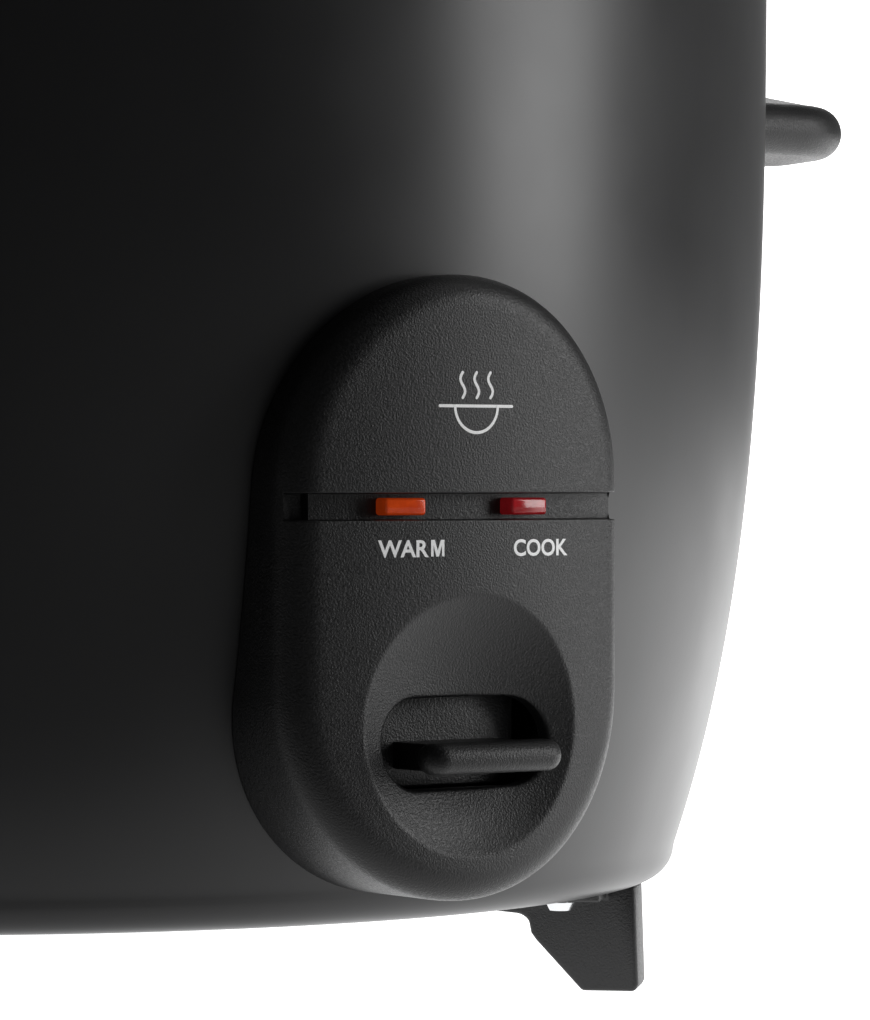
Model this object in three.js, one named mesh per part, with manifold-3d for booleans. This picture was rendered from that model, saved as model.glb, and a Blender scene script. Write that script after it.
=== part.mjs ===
// Drum rice cooker: a painted steel drum on four plastic feet, with a cooking pot and glass lid,
// a cast heating plate, a magnetic thermostat and the cook lever that works it.
// Millimetres, +Z up, front (control panel) towards -Y, floor at z = 0.

import * as THREE from 'three';
import { mergeVertices } from 'three/addons/utils/BufferGeometryUtils.js';
import Module from 'manifold-3d';

const wasm = await Module();
wasm.setup();

// ---------------------------------------------------------------- driving dimensions

const fit = 0.3;                // clearance between neighbouring pieces
const roundSteps = 32;          // sides of the large round pieces
const smallSteps = 10;          // sides of screws, pins and rods

// Drum
const drumRadius = 125;
const drumHeight = 160;
const footHeight = 17;          // floor to the underside of the drum
const shellWall = 0.9;
const taperHeight = 188;        // the drum draws in below this height above its underside
const taperDepth = 16.7;
const taperPower = 4.1;
const bottomCorner = 5.2;
const rimRoll = 5;
const lipWidth = 3.5;
const bottomFlange = 6.4;
const ventCount = 8;

// Inner liner and cooking pot
const linerGap = 13;            // drum radius less liner radius
const linerWall = 0.8;
const linerFloor = 38.4;        // above the drum's underside
const linerCorner = 8;
const linerHole = 19;
const rimWidth = 9;
const rimPlay = 0.7;
const potGap = 3.5;             // liner radius less pot radius
const potWall = 1.2;
const potCorner = 12;
const potFlare = 4;
const potRim = 5.5;

// Heating plate and what holds it
const plateInset = 20.5;        // pot radius less plate radius
const plateThick = 9.8;
const plateLegHeight = 5.4;
const plateLegRadius = 5;
const plateLegCircle = 38;
const coilRadius = 64;
const coilHalf = 6;
const coilDrop = 3;
const plateHole = 17.2;

// Thermostat
const capRadius = 16.6;
const capWall = 1.2;
const capHeight = 9;
const sleeveRadius = 13.2;
const sleeveWall = 1;
const housingFlange = 26;
const housingDepth = 12.5;
const magnetRadius = 10.5;
const magnetHeight = 7;
const ferriteHeight = 3.2;
const rodRadius = 2;
const collarRadius = 6;
const collarHeight = 2.1;
const wireRadius = 0.5;
const coilTurns = 3;
const bandThick = 1.2;          // keep-warm band
const bandLow = 38;
const bandHeight = 28;

// Control panel
const panelProud = 6.2;         // face radius less drum radius
const panelWidth = 58.4;
const panelHeight = 87.6;
const panelBottom = 21.6;
const panelWall = 2.4;
const panelFillet = 4.5;
const grooveZ = 76.8;
const grooveHeight = 3.9;
const grooveDepth = 4;
const grooveLeft = 28.7;
const dishZ = 46.2;
const dishHeight = 36.6;
const dishDepth = 4.4;
const dishStretch = 1.17;       // the dish is this much wider than a round one
const slotZ = 43.8;
const slotWidth = 28.8;
const slotHeight = 12.7;
const lensSpacing = 21.5;
const lensWidth = 6.6;
const lensHeight = 2.4;
const lensProud = 2.6;
const lensFlange = 1.9;
const grooveBacking = 2;        // wall behind the groove's floor
const lampRadius = 1.4;
const lampLength = 8;
const bossRadius = 4.5;
const bossEdge = 10.5;          // boss centre from the panel's top and bottom

// Cook lever
const barThick = 4.4;
const barProud = 6.1;           // beyond the panel's face
const barDepth = 6;
const barPlay = 2.7;            // each side of the bar in the slot
const barRound = 1.9;
const barCorner = 2.9;
const barDrop = 1.7;            // bar centre below the slot's centre, lever pressed
const pivotSetback = 57;        // behind the panel's face
const pivotDrop = 4;            // below the bar
const pinRadius = 1.7;
const armWidth = 12;
const armThick = 1.6;
const pivotBoss = 4;
const pivotSides = 24;
const earThick = 1.2;
const switchSetback = 14;       // plunger behind the pivot
const plungerRadius = 1.2;

// Feet, handles, power inlet, screws
const footLength = 24.5;
const footWidth = 10;
const footPad = 28;
const footPadThick = 2;
const footTip = 4.1;            // thickness of the foot's inner end
const footSole = 8.4;           // how much of the foot's length touches the floor
const footScrewHead = 2.5;
const footScrewHeight = 1.3;
const handleReach = 29.2;
const handleWidth = 84;
const handleRoot = 19.5;
const handleTip = 9;
const handleDrop = 36.4;        // handle centre below the drum's rim
const handleCorner = 17;
const handleOverlap = 10;       // cut off again by the drum's round
const handleEdge = 11;          // finger pocket to the handle's ends
const handleScrewSpan = 50;
const inletZ = 39;
const inletWidth = 27;
const inletHeight = 22;
const inletWall = 2.5;
const inletDepth = 24;
const inletFlange = 6;          // flange beyond the housing on every side
const inletProud = 6;
const pinWidth = 4;
const pinThick = 2;
const screwRadius = 1.5;
const screwHead = 3.4;
const screwHeadHeight = 2.2;
const screwHold = 5.2;          // depth of the hole that a shell screw has in the piece outside
const holeSpare = 0.5;          // the same hole beyond the screw's end

// Lid
const glassThick = 3.4;
const glassDome = 21;
const bandWall = 0.8;
const bandReach = 6;
const skirtDepth = 0.9;         // the bead that centres the lid in the pot
const skirtPlay = 0.8;
const knobRadius = 18;
const knobHeight = 28;
const ventRadius = 62;

// ---------------------------------------------------------------- worked-out sizes

const drumTop = footHeight + drumHeight;
const faceRadius = drumRadius + panelProud;
const linerRadius = drumRadius - linerGap;
const floorZ = footHeight + linerFloor;
const floorTop = floorZ + linerWall;
const plateBottom = floorTop + fit + plateLegHeight;
const plateTop = plateBottom + plateThick;
const potRadius = linerRadius - potGap;
const potBottom = plateTop + fit;
const rimTop = drumTop + fit + linerWall;
const potRimZ = rimTop + rimPlay;
const potTop = potRimZ + potWall;
const barZ = slotZ - barDrop;
const pivotY = pivotSetback - faceRadius;
const pivotZ = barZ - pivotDrop;
const holeRadius = screwRadius + fit;
const lensReach = faceRadius - grooveDepth + lensProud;
const lensTurn = THREE.MathUtils.radToDeg(Math.asin(lensSpacing / 2 / lensReach));

// ---------------------------------------------------------------- solids

function solid(geometry) {
  const bare = new THREE.BufferGeometry();
  bare.setAttribute('position', geometry.attributes.position);
  bare.setIndex(geometry.index);
  const merged = mergeVertices(bare, 1e-4);
  const corner = merged.attributes.position;
  const index = merged.index.array;
  const faces = [];
  let volume = 0;
  const [a, b, c] = [new THREE.Vector3(), new THREE.Vector3(), new THREE.Vector3()];
  for (let i = 0; i < index.length; i += 3) {
    const [p, q, r] = index.slice(i, i + 3);
    if (p === q || q === r || r === p) continue;
    faces.push([p, q, r]);
    a.fromBufferAttribute(corner, p);
    b.fromBufferAttribute(corner, q);
    c.fromBufferAttribute(corner, r);
    volume += a.dot(b.cross(c));
  }
  const outward = volume > 0 ? faces : faces.map(face => face.reverse());
  const mesh = { numProp: 3, vertProperties: corner.array, triVerts: new Uint32Array(outward.flat()) };
  return new wasm.Manifold(new wasm.Mesh(mesh));
}

function geometryOf(body) {
  const mesh = body.getMesh();
  const geometry = new THREE.BufferGeometry();
  geometry.setAttribute('position', new THREE.BufferAttribute(mesh.vertProperties, 3));
  geometry.setIndex(new THREE.BufferAttribute(mesh.triVerts, 1));
  geometry.computeVertexNormals();
  return geometry;
}

const join = (...bodies) => bodies.reduce((whole, body) => whole.add(body));
const cut = (whole, ...tools) => tools.reduce((rest, tool) => rest.subtract(tool), whole);

function box(x0, x1, y0, y1, z0, z1) {
  const block = new THREE.BoxGeometry(x1 - x0, y1 - y0, z1 - z0);
  return solid(block.translate((x0 + x1) / 2, (y0 + y1) / 2, (z0 + z1) / 2));
}

// A turned piece: profile points [radius, height] around the Z axis.
function turned(profile, steps = roundSteps) {
  const points = profile.map(([r, z]) => new THREE.Vector2(r, z));
  const onAxis = profile[0][0] === 0 && profile.at(-1)[0] === 0;
  if (!onAxis) points.push(points[0].clone());
  return solid(new THREE.LatheGeometry(points, steps).rotateX(Math.PI / 2));
}

function rod(radius, length, axis, x, y, z, steps = smallSteps) {
  const bar = new THREE.CylinderGeometry(radius, radius, length, steps).translate(0, length / 2, 0);
  if (axis === 'x') bar.rotateZ(-Math.PI / 2);
  if (axis === 'z') bar.rotateX(Math.PI / 2);
  return solid(bar.translate(x, y, z));
}

function extruded(points, depth, options = {}) {
  const shape = new THREE.Shape(points.map(([x, y]) => new THREE.Vector2(x, y)));
  for (const hole of options.holes ?? []) {
    shape.holes.push(new THREE.Path(hole.map(([x, y]) => new THREE.Vector2(x, y))));
  }
  return new THREE.ExtrudeGeometry(shape, { depth, bevelEnabled: false, ...options.bevel });
}

// Outline [x, z] pushed along Y from y0 to y1.
const alongY = (points, y0, y1) =>
  solid(extruded(points, y1 - y0).rotateX(Math.PI / 2).translate(0, y1, 0));

// Outline [y, z] pushed along X from x0 to x1.
function alongX(points, x0, x1) {
  const turn = new THREE.Matrix4().makeBasis(
    new THREE.Vector3(0, 1, 0), new THREE.Vector3(0, 0, 1), new THREE.Vector3(1, 0, 0));
  return solid(extruded(points, x1 - x0).applyMatrix4(turn).translate(x0, 0, 0));
}

const alongZ = (points, z0, z1, holes) =>
  solid(extruded(points, z1 - z0, { holes }).translate(0, 0, z0));

function arc(cx, cy, radius, from, to, steps) {
  const points = [];
  for (let i = 0; i <= steps; i++) {
    const angle = THREE.MathUtils.degToRad(from + (to - from) * i / steps);
    points.push([cx + radius * Math.cos(angle), cy + radius * Math.sin(angle)]);
  }
  return points;
}

// Upright or lying stadium, or any rectangle with rounded corners.
function rounded(width, height, radius, cx = 0, cy = 0, steps = 4) {
  const [w, h] = [width / 2 - radius, height / 2 - radius];
  const centres = [[w, h, 0], [-w, h, 90], [-w, -h, 180], [w, -h, 270]];
  const points = centres.flatMap(([x, y, from]) => arc(cx + x, cy + y, radius, from, from + 90, steps));
  return points.filter(([x, y], i) => {
    const [px, py] = points.at(i - 1);
    return Math.hypot(x - px, y - py) > 1e-6;
  });
}

// A pan-head screw along +Z: its head's underside at z = 0, its shank above.
function screw(length, shank = screwRadius, head = screwHead, headHeight = screwHeadHeight) {
  return turned([
    [0, -headHeight], [head * 0.7, -headHeight], [head, -headHeight * 0.55], [head, 0],
    [shank, 0], [shank, length - 0.5], [shank - 0.5, length], [0, length],
  ], smallSteps);
}

class Helix extends THREE.Curve {
  constructor(radius, z0, z1, turns) {
    super();
    Object.assign(this, { radius, z0, z1, turns });
  }

  getPoint(t) {
    const angle = 2 * Math.PI * this.turns * t;
    const z = this.z0 + (this.z1 - this.z0) * t;
    return new THREE.Vector3(this.radius * Math.cos(angle), this.radius * Math.sin(angle), z);
  }
}

function spring(radius, z0, z1) {
  const section = new THREE.Shape(arc(0, 0, wireRadius, 0, 300, 5).map(([x, y]) => new THREE.Vector2(x, y)));
  const path = new Helix(radius, z0 + 1.5 * wireRadius, z1 - 1.5 * wireRadius, coilTurns);
  return solid(new THREE.ExtrudeGeometry(section, { steps: coilTurns * 12, extrudePath: path }));
}

const finishes = {
  blackSteel: { color: 0x101011, roughness: 0.42, metalness: 0.1 },
  blackPlastic: { color: 0x141415, roughness: 0.55, metalness: 0 },
  steel: { color: 0xb9bcc0, roughness: 0.35, metalness: 1 },
  zinc: { color: 0x9ea3a6, roughness: 0.5, metalness: 0.9 },
  aluminium: { color: 0xcfd1d4, roughness: 0.45, metalness: 1 },
  nonStick: { color: 0x2b2b2d, roughness: 0.5, metalness: 0.2 },
  brass: { color: 0xc9a45a, roughness: 0.35, metalness: 1 },
  ferrite: { color: 0x3a3a3c, roughness: 0.8, metalness: 0 },
  mica: { color: 0xb8a888, roughness: 0.8, metalness: 0 },
  ceramic: { color: 0xe6e2d8, roughness: 0.6, metalness: 0 },
  redLens: { color: 0xb01620, roughness: 0.2, metalness: 0 },
  amberLens: { color: 0xd8401a, roughness: 0.2, metalness: 0 },
  glass: { color: 0xdfe8ea, roughness: 0.05, metalness: 0, transparent: true, opacity: 0.35 },
};

const riceCooker = new THREE.Group();

function add(name, body, finish, parent = riceCooker) {
  const mesh = new THREE.Mesh(geometryOf(body), new THREE.MeshStandardMaterial(finishes[finish]));
  mesh.name = name;
  parent.add(mesh);
  return mesh;
}

function groupAt(x, y, z, turnX = 0, turnY = 0, turnZ = 0) {
  const group = new THREE.Group();
  group.position.set(x, y, z);
  group.rotation.set(turnX, turnY, turnZ);
  riceCooker.add(group);
  return group;
}

// ---------------------------------------------------------------- drum, liner, base

// Outer radius of the drum at height z: straight above, drawn in towards the bottom.
function skinRadius(z) {
  const below = Math.max(0, 1 - (z - footHeight) / taperHeight);
  return drumRadius - taperDepth * below ** taperPower;
}

// How far out a flat screw head fits inside the shell at height z, its far edge `aside` off centre.
function headSeat(z, aside) {
  const inside = (skinRadius(z - screwHead) - shellWall) * Math.cos(Math.PI / roundSteps);
  return Math.sqrt(inside * inside - aside * aside) - fit;
}

// The drum's outline from its underside to its rim, drawn in by `inset`.
function drumOutline(inset) {
  const cornerZ = footHeight + bottomCorner;
  const rollZ = drumTop - rimRoll;
  const skinSteps = 6;
  const side = [];
  for (let i = 1; i < skinSteps; i++) {
    const z = cornerZ + (rollZ - cornerZ) * i / skinSteps;
    side.push([skinRadius(z) - inset, z]);
  }
  return [
    ...arc(skinRadius(cornerZ) - bottomCorner, cornerZ, bottomCorner - inset, -90, 0, 3),
    ...side,
    ...arc(skinRadius(rollZ) - rimRoll, rollZ, rimRoll - inset, 0, 90, 3),
  ];
}

const drumBlock = clearance => {
  const outline = drumOutline(-clearance);
  return turned([[0, outline[0][1]], ...outline, [0, outline.at(-1)[1]]]);
};
const drumCutter = drumBlock(fit);
const underRadius = skinRadius(footHeight + bottomCorner) - bottomCorner;

const panelMiddle = panelBottom + panelHeight / 2;
const bossHeights = [panelBottom + bossEdge, panelBottom + panelHeight - bossEdge];
const handleZ = drumTop - handleDrop;
const handleScrews = [-handleScrewSpan / 2, handleScrewSpan / 2];
const inletScrewX = inletWidth / 2 + inletFlange / 2 + 0.3;
const footAngles = { front_right: -45, back_right: 45, back_left: 135, front_left: 225 };
const footScrewAt = [underRadius - 11, -9.5];
const leverOpening = [-11, 11, barZ - 6, barZ + 8];
const lampOpening = [-lensSpacing / 2 - lampLength, lensSpacing / 2 + lampLength, grooveZ - 4, grooveZ + 4];

function outerShell() {
  const outer = drumOutline(0);
  const inner = drumOutline(shellWall).reverse();
  const lipEdge = outer.at(-1)[0] - lipWidth;
  const flangeEdge = underRadius - bottomFlange;
  let shell = turned([
    ...outer, [lipEdge, drumTop], [lipEdge, drumTop - shellWall],
    ...inner, [flangeEdge, footHeight + shellWall], [flangeEdge, footHeight],
  ]);
  for (const [x0, x1, z0, z1] of [leverOpening, lampOpening]) {
    shell = cut(shell, box(x0, x1, -drumRadius, 0, z0, z1));
  }
  for (const z of bossHeights) shell = cut(shell, rod(holeRadius, drumRadius, 'y', 0, -drumRadius, z));
  for (const y of handleScrews) {
    shell = cut(shell, rod(holeRadius, 2 * drumRadius, 'x', -drumRadius, y, handleZ));
  }
  const hole = rounded(inletWidth + 2 * fit, inletHeight + 2 * fit, 2, 0, inletZ, 2);
  shell = cut(shell, alongY(hole, 0, drumRadius));
  for (const x of [-inletScrewX, inletScrewX]) {
    shell = cut(shell, rod(holeRadius, drumRadius, 'y', x, 0, inletZ));
  }
  return shell;
}

function innerLiner() {
  const r = linerRadius;
  const rimZ = drumTop + fit;
  let liner = turned([
    [linerHole, floorZ], ...arc(r - linerCorner, floorZ + linerCorner, linerCorner, -90, 0, 3),
    [r, rimZ], [r + rimWidth, rimZ], [r + rimWidth, rimTop], [r - linerWall, rimTop],
    ...arc(r - linerCorner, floorZ + linerCorner, linerCorner - linerWall, 0, -90, 3), [linerHole, floorTop],
  ]);
  const throughFloor = (radius, [x, y]) => rod(radius + fit, 9, 'z', x, y, floorZ - 4);
  for (const place of plateScrewPlaces) liner = cut(liner, throughFloor(plateScrewRadius, place));
  for (const place of terminalPlaces) liner = cut(liner, throughFloor(terminalRadius, place));
  return liner;
}

function basePlate() {
  const radius = underRadius - 1;
  const thick = 1;
  const padRadius = 3.4;
  const z0 = footHeight + shellWall + fit;
  const outline = arc(0, 0, radius, 0, 360 - 360 / roundSteps, roundSteps - 1);
  const vents = [];
  for (let i = 0; i < ventCount; i++) {
    const slot = rounded(28, 5, 2.5, 46, 0, 2);
    const angle = (i + 0.5) * 2 * Math.PI / ventCount;
    vents.push(slot.map(([x, y]) => [
      x * Math.cos(angle) - y * Math.sin(angle), x * Math.sin(angle) + y * Math.cos(angle)]));
  }
  let plate = alongZ(outline, z0, z0 + thick, vents);
  for (const degrees of Object.values(footAngles)) {
    const [x, y] = onFoot(degrees, ...footScrewAt);
    plate = join(plate, rod(padRadius, z0 - footHeight + 0.5, 'z', x, y, footHeight));
    plate = cut(plate, rod(holeRadius, 9, 'z', x, y, footHeight - 4));
  }
  return plate;
}

// A place on a foot, given outwards from the drum's axis and sideways, in the drum's X and Y.
function onFoot(degrees, out, side) {
  const angle = THREE.MathUtils.degToRad(degrees);
  return [out * Math.cos(angle) - side * Math.sin(angle), out * Math.sin(angle) + side * Math.cos(angle)];
}

// ---------------------------------------------------------------- heating plate

const plateScrewRadius = 2.2;
const plateScrewPlaces = [90, 210, 330].map(degrees => arc(0, 0, plateLegCircle, degrees, degrees, 1)[0]);
const terminalRadius = 3.4;
const terminalPlaces = [77, 103].map(degrees => arc(0, 0, coilRadius, degrees, degrees, 1)[0]);

function heatingPlate() {
  const radius = potRadius - plateInset;
  const [low, high] = [plateBottom, plateTop];
  let plate = turned([
    [plateHole, low], [coilRadius - coilHalf - 2, low], [coilRadius - coilHalf, low - coilDrop],
    [coilRadius + coilHalf, low - coilDrop], [coilRadius + coilHalf + 2, low], [radius - 2, low],
    [radius, low + 2], [radius, high - 2], [radius - 1.5, high], [plateHole, high],
  ], 24);
  for (const [x, y] of plateScrewPlaces) {
    plate = join(plate, rod(plateLegRadius, plateLegHeight + 1, 'z', x, y, low - plateLegHeight));
    plate = cut(plate, rod(plateScrewRadius + fit, 13, 'z', x, y, floorTop - 1));
  }
  return plate;
}

function heaterTerminal(x, y) {
  const top = plateBottom - coilDrop - fit;
  const tip = floorZ - 10;
  const terminal = turned([
    [0, tip], [1.5, tip], [1.5, floorZ - 3], [terminalRadius, floorZ - 3], [terminalRadius, top], [0, top],
  ], smallSteps);
  return terminal.translate([x, y, 0]);
}

// ---------------------------------------------------------------- thermostat

const housingTop = floorTop + 7.2;
const housingBase = floorZ - housingDepth;
const ferriteTop = plateTop - capWall - fit;
const magnetTop = ferriteTop - ferriteHeight - fit;
const rodTop = magnetTop - magnetHeight - fit;
const rodBottom = housingBase - 10.6;

const sensorCap = () => turned([
  [0, plateTop - capWall], [capRadius - capWall, plateTop - capWall],
  [capRadius - capWall, plateTop - capHeight],
  [capRadius, plateTop - capHeight], [capRadius, plateTop - 0.8], [capRadius - 0.8, plateTop], [0, plateTop],
], 20);

function thermostatHousing() {
  const bore = sleeveRadius - sleeveWall;
  const flangeTop = floorZ - fit;
  return turned([
    [rodRadius + 0.8, housingBase], [sleeveRadius, housingBase], [sleeveRadius, flangeTop - 1.2],
    [housingFlange, flangeTop - 1.2], [housingFlange, flangeTop], [sleeveRadius, flangeTop],
    [sleeveRadius, housingTop], [bore, housingTop], [bore, housingBase + 1.2],
    [rodRadius + 0.8, housingBase + 1.2],
  ], 20);
}

const pullRod = () => turned([
  [0, rodBottom], [collarRadius, rodBottom], [collarRadius, rodBottom + collarHeight],
  [rodRadius, rodBottom + collarHeight], [rodRadius, rodTop], [0, rodTop],
], smallSteps);

// Mica band wound round the outside of the liner.
function keepWarmHeater() {
  const [inner, outer] = [linerRadius + fit, linerRadius + fit + bandThick];
  const [low, high] = [floorZ + bandLow, floorZ + bandLow + bandHeight];
  return turned([[inner, low], [outer, low], [outer, high], [inner, high]]);
}

const keepWarmThermostat = () => {
  const [radius, height] = [8, 9];
  return rod(radius, height, 'z', -coilRadius + 6, 22, floorZ - fit - height, 16);
};

const thermalFuse = () => {
  const [radius, length] = [2.4, 24];
  return rod(radius, length, 'y', coilRadius - 4, 8, floorZ - fit - radius);
};

// ---------------------------------------------------------------- control panel

// Joins rings of equal point counts into one closed skin, fanned shut at both ends.
function skinned(rings) {
  const count = rings[0].length;
  const middle = ring => ring.reduce((sum, p) => sum.map((v, k) => v + p[k] / count), [0, 0, 0]);
  const corners = [...rings.flat(), middle(rings[0]), middle(rings.at(-1))];
  const [first, last] = [corners.length - 2, corners.length - 1];
  const start = (rings.length - 1) * count;
  const index = [];
  for (let j = 0; j < count; j++) {
    const next = (j + 1) % count;
    index.push(first, next, j, last, start + j, start + next);
    for (let i = 0; i + 1 < rings.length; i++) {
      const [a, b, c, d] = [i * count + j, i * count + next, (i + 1) * count + j, (i + 1) * count + next];
      index.push(a, b, c, b, d, c);
    }
  }
  const geometry = new THREE.BufferGeometry();
  geometry.setAttribute('position', new THREE.Float32BufferAttribute(corners.flat(), 3));
  geometry.setIndex(index);
  return solid(geometry);
}

// A stadium outline drawn in by `inset`, its face on a cylinder of radius `reach` about the
// drum's axis and its edge rounded by `fillet`.
function panelSkin(inset, reach, fillet, filletSteps) {
  const half = panelWidth / 2 - inset;
  const height = panelHeight - 2 * inset;
  const back = underRadius - 12;
  const ring = (drawnIn, depthAt) => {
    const radius = half - drawnIn;
    const outline = rounded(2 * radius, height - 2 * drawnIn, radius, 0, panelMiddle, 4);
    return outline.map(([x, z]) => [x, depthAt(x), z]);
  };
  const rings = [ring(0, () => -back)];
  for (const [cos, sin] of arc(0, 0, 1, 0, 90, filletSteps)) {
    rings.push(ring(fillet * (1 - cos), x => fillet * (1 - sin) - Math.sqrt(reach * reach - x * x)));
  }
  for (const share of [0.35, 0.7, 0.98]) {
    rings.push(ring(fillet + (half - fillet) * share, x => -Math.sqrt(reach * reach - x * x)));
  }
  return skinned(rings);
}

function dishBall(extra) {
  const half = dishHeight / 2;
  const radius = (half * half + dishDepth * dishDepth) / (2 * dishDepth);
  const ball = new THREE.SphereGeometry(radius + extra, 28, 20).scale(dishStretch, 1, 1);
  return solid(ball.translate(0, dishDepth - radius - faceRadius, dishZ));
}

const upright = (radius, steps = 48) => rod(radius, 400, 'z', 0, 0, -100, steps);

function controlPanel() {
  const skin = panelSkin(0, faceRadius, panelFillet, 3);
  const hollow = panelSkin(panelWall, faceRadius - panelWall, panelFillet - 2, 2);
  const [left, right, front] = [-panelWidth, panelWidth, -faceRadius - 1];
  const grooveBand = margin => [grooveZ - grooveHeight / 2 - margin, grooveZ + grooveHeight / 2 + margin];
  const trough = skin
    .intersect(box(left, right, front, 0, ...grooveBand(panelWall)))
    .subtract(upright(faceRadius - grooveDepth - grooveBacking));
  const groove = box(-grooveLeft, right, front, 0, ...grooveBand(0))
    .subtract(upright(faceRadius - grooveDepth));
  const dishBack = dishBall(panelWall - 0.2).intersect(skin);
  const bosses = bossHeights.map(z =>
    rod(bossRadius, faceRadius - 1, 'y', 0, 1 - faceRadius, z).intersect(skin));
  let panel = join(cut(skin, hollow), trough, dishBack, ...bosses);
  const slot = rounded(slotWidth, slotHeight, slotHeight / 2, 0, slotZ, 5);
  panel = cut(panel, groove, dishBall(0), alongY(slot, front, 0), drumCutter);
  const [w, h] = [lensWidth / 2 + fit, lensHeight / 2 + fit];
  const lensHole = box(-w, w, front, 0, grooveZ - h, grooveZ + h);
  for (const side of [-1, 1]) panel = cut(panel, lensHole.rotate([0, 0, side * lensTurn]));
  for (const z of bossHeights) {
    const mouth = skinRadius(z);
    panel = cut(panel, rod(holeRadius, mouth, 'y', 0, -mouth - screwHold, z));
  }
  return panel;
}

// Jewel lens: its face stands in the groove, its flange sits behind the groove's floor.
function lens() {
  const floor = faceRadius - grooveDepth;
  const back = grooveBacking + fit - floor;
  const [w, h] = [lensWidth / 2, lensHeight / 2];
  const stem = box(-w, w, -floor - lensProud, back + lensFlange / 2, grooveZ - h, grooveZ + h);
  const [low, high] = [grooveZ - h - 1, grooveZ + h + 1];
  const flange = box(-w - 1, w + 1, back + lensFlange / 2, back + lensFlange, low, high);
  return join(stem, flange);
}

// Neon lamp lying across the back of its lens.
function lamp() {
  const y = grooveDepth + grooveBacking + fit + lensFlange + fit + lampRadius - faceRadius;
  return rod(lampRadius, lampLength, 'x', -lampLength / 2, y, grooveZ);
}

function addSignal(name, side, finish) {
  const group = groupAt(0, 0, 0, 0, 0, side * THREE.MathUtils.degToRad(lensTurn));
  add(`lens_${name}`, lens(), finish, group);
  add(`lamp_${name}`, lamp(), 'glass', group);
}

function panelScrew(z) {
  const seat = headSeat(z, screwHead);
  const length = skinRadius(z) + screwHold - holeSpare - seat;
  add(z < panelMiddle ? 'panel_screw_low' : 'panel_screw_high', screw(length), 'steel',
    groupAt(0, -seat, z, Math.PI / 2));
}

// ---------------------------------------------------------------- cook lever and switch

function leverKnob() {
  const half = slotWidth / 2 - barPlay;
  const front = -faceRadius - barProud;
  const outline = rounded(2 * (half - barRound), barDepth - 2 * barRound, barCorner - barRound, 0, 0, 3);
  const bevel = { bevelEnabled: true, bevelSize: barRound, bevelThickness: barRound, bevelSegments: 3 };
  const bar = extruded(outline, barThick - 2 * barRound, { bevel })
    .translate(0, front + barDepth / 2, barZ - barThick / 2 + barRound);
  const shieldY = 1 - faceRadius + dishDepth + panelWall;
  const neck = box(-half + 3, half - 3, front + 2, shieldY + 1, barZ - 1.9, barZ + 1.9);
  const shield = box(-half - 0.5, half + 0.5, shieldY, shieldY + 1.8, barZ - 4.5, barZ + 10);
  const stem = box(-7.5, 7.5, shieldY + 1, pivotY - 30, barZ - 2.6, barZ + 2.6);
  const armHalf = armWidth / 2 + fit;
  const pocket = box(-armHalf, armHalf, shieldY + 6, pivotY, barZ - armThick, barZ + armThick);
  return cut(join(solid(bar), neck, shield, stem), pocket);
}

function leverArm() {
  const half = armThick / 2;
  const tipY = 1 - faceRadius + dishDepth + panelWall + 6.5;
  const innerZ = rodBottom - fit;
  const outer = [[tipY, barZ - half], [pivotY, barZ - half], [pivotY, barZ + half], [tipY, barZ + half]];
  const bend = -22;
  const inner = [
    [pivotY, pivotZ - 3.2], [pivotY, pivotZ - 3.2 - armThick], [bend, innerZ - armThick],
    [collarRadius, innerZ - armThick], [collarRadius, innerZ], [bend, innerZ],
  ];
  const [x0, x1] = [-armWidth / 2, armWidth / 2];
  const barrel = rod(pivotBoss, armWidth + 3, 'x', x0 - 1.5, pivotY, pivotZ, pivotSides);
  const arm = join(alongX(outer, x0, x1), alongX(inner, x0, x1), barrel);
  return cut(arm, rod(pinRadius + fit, 40, 'x', -20, pivotY, pivotZ, pivotSides));
}

const bracketInner = armWidth / 2 + 1.5 + fit;
const bracketOuter = bracketInner + earThick;

function leverBracket() {
  const top = floorZ - fit;
  const base = box(-bracketOuter, bracketOuter, pivotY - 10, pivotY + 28, top - 1.5, top);
  const ear = x => box(x, x + earThick, pivotY - 5, pivotY + 5, pivotZ - 4, top);
  const bracket = join(base, ear(bracketInner), ear(-bracketOuter));
  return cut(bracket, rod(pinRadius + fit, 40, 'x', -20, pivotY, pivotZ, pivotSides));
}

const leverPin = () => join(
  rod(pinRadius, 2 * bracketOuter + 2, 'x', -bracketOuter - 1, pivotY, pivotZ, pivotSides),
  rod(pinRadius + 1.2, 1.2, 'x', bracketOuter + fit, pivotY, pivotZ, pivotSides));

const plungerY = pivotY + switchSetback;
const plungerTip = pivotZ - 1.2 - armThick - switchSetback * 0.01;
const switchBottom = pivotZ - 0.2;

function microswitch() {
  const top = floorZ - 2 * fit - 1.5;
  const body = box(-3.2, 3.2, plungerY - 6.5, plungerY + 13, switchBottom, top);
  return cut(body, rod(plungerRadius + fit, 5, 'z', 0, plungerY, switchBottom - 1));
}

const switchPlunger = () => rod(plungerRadius, switchBottom + 2 - plungerTip, 'z', 0, plungerY, plungerTip);

// ---------------------------------------------------------------- feet, handles, inlet

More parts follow.
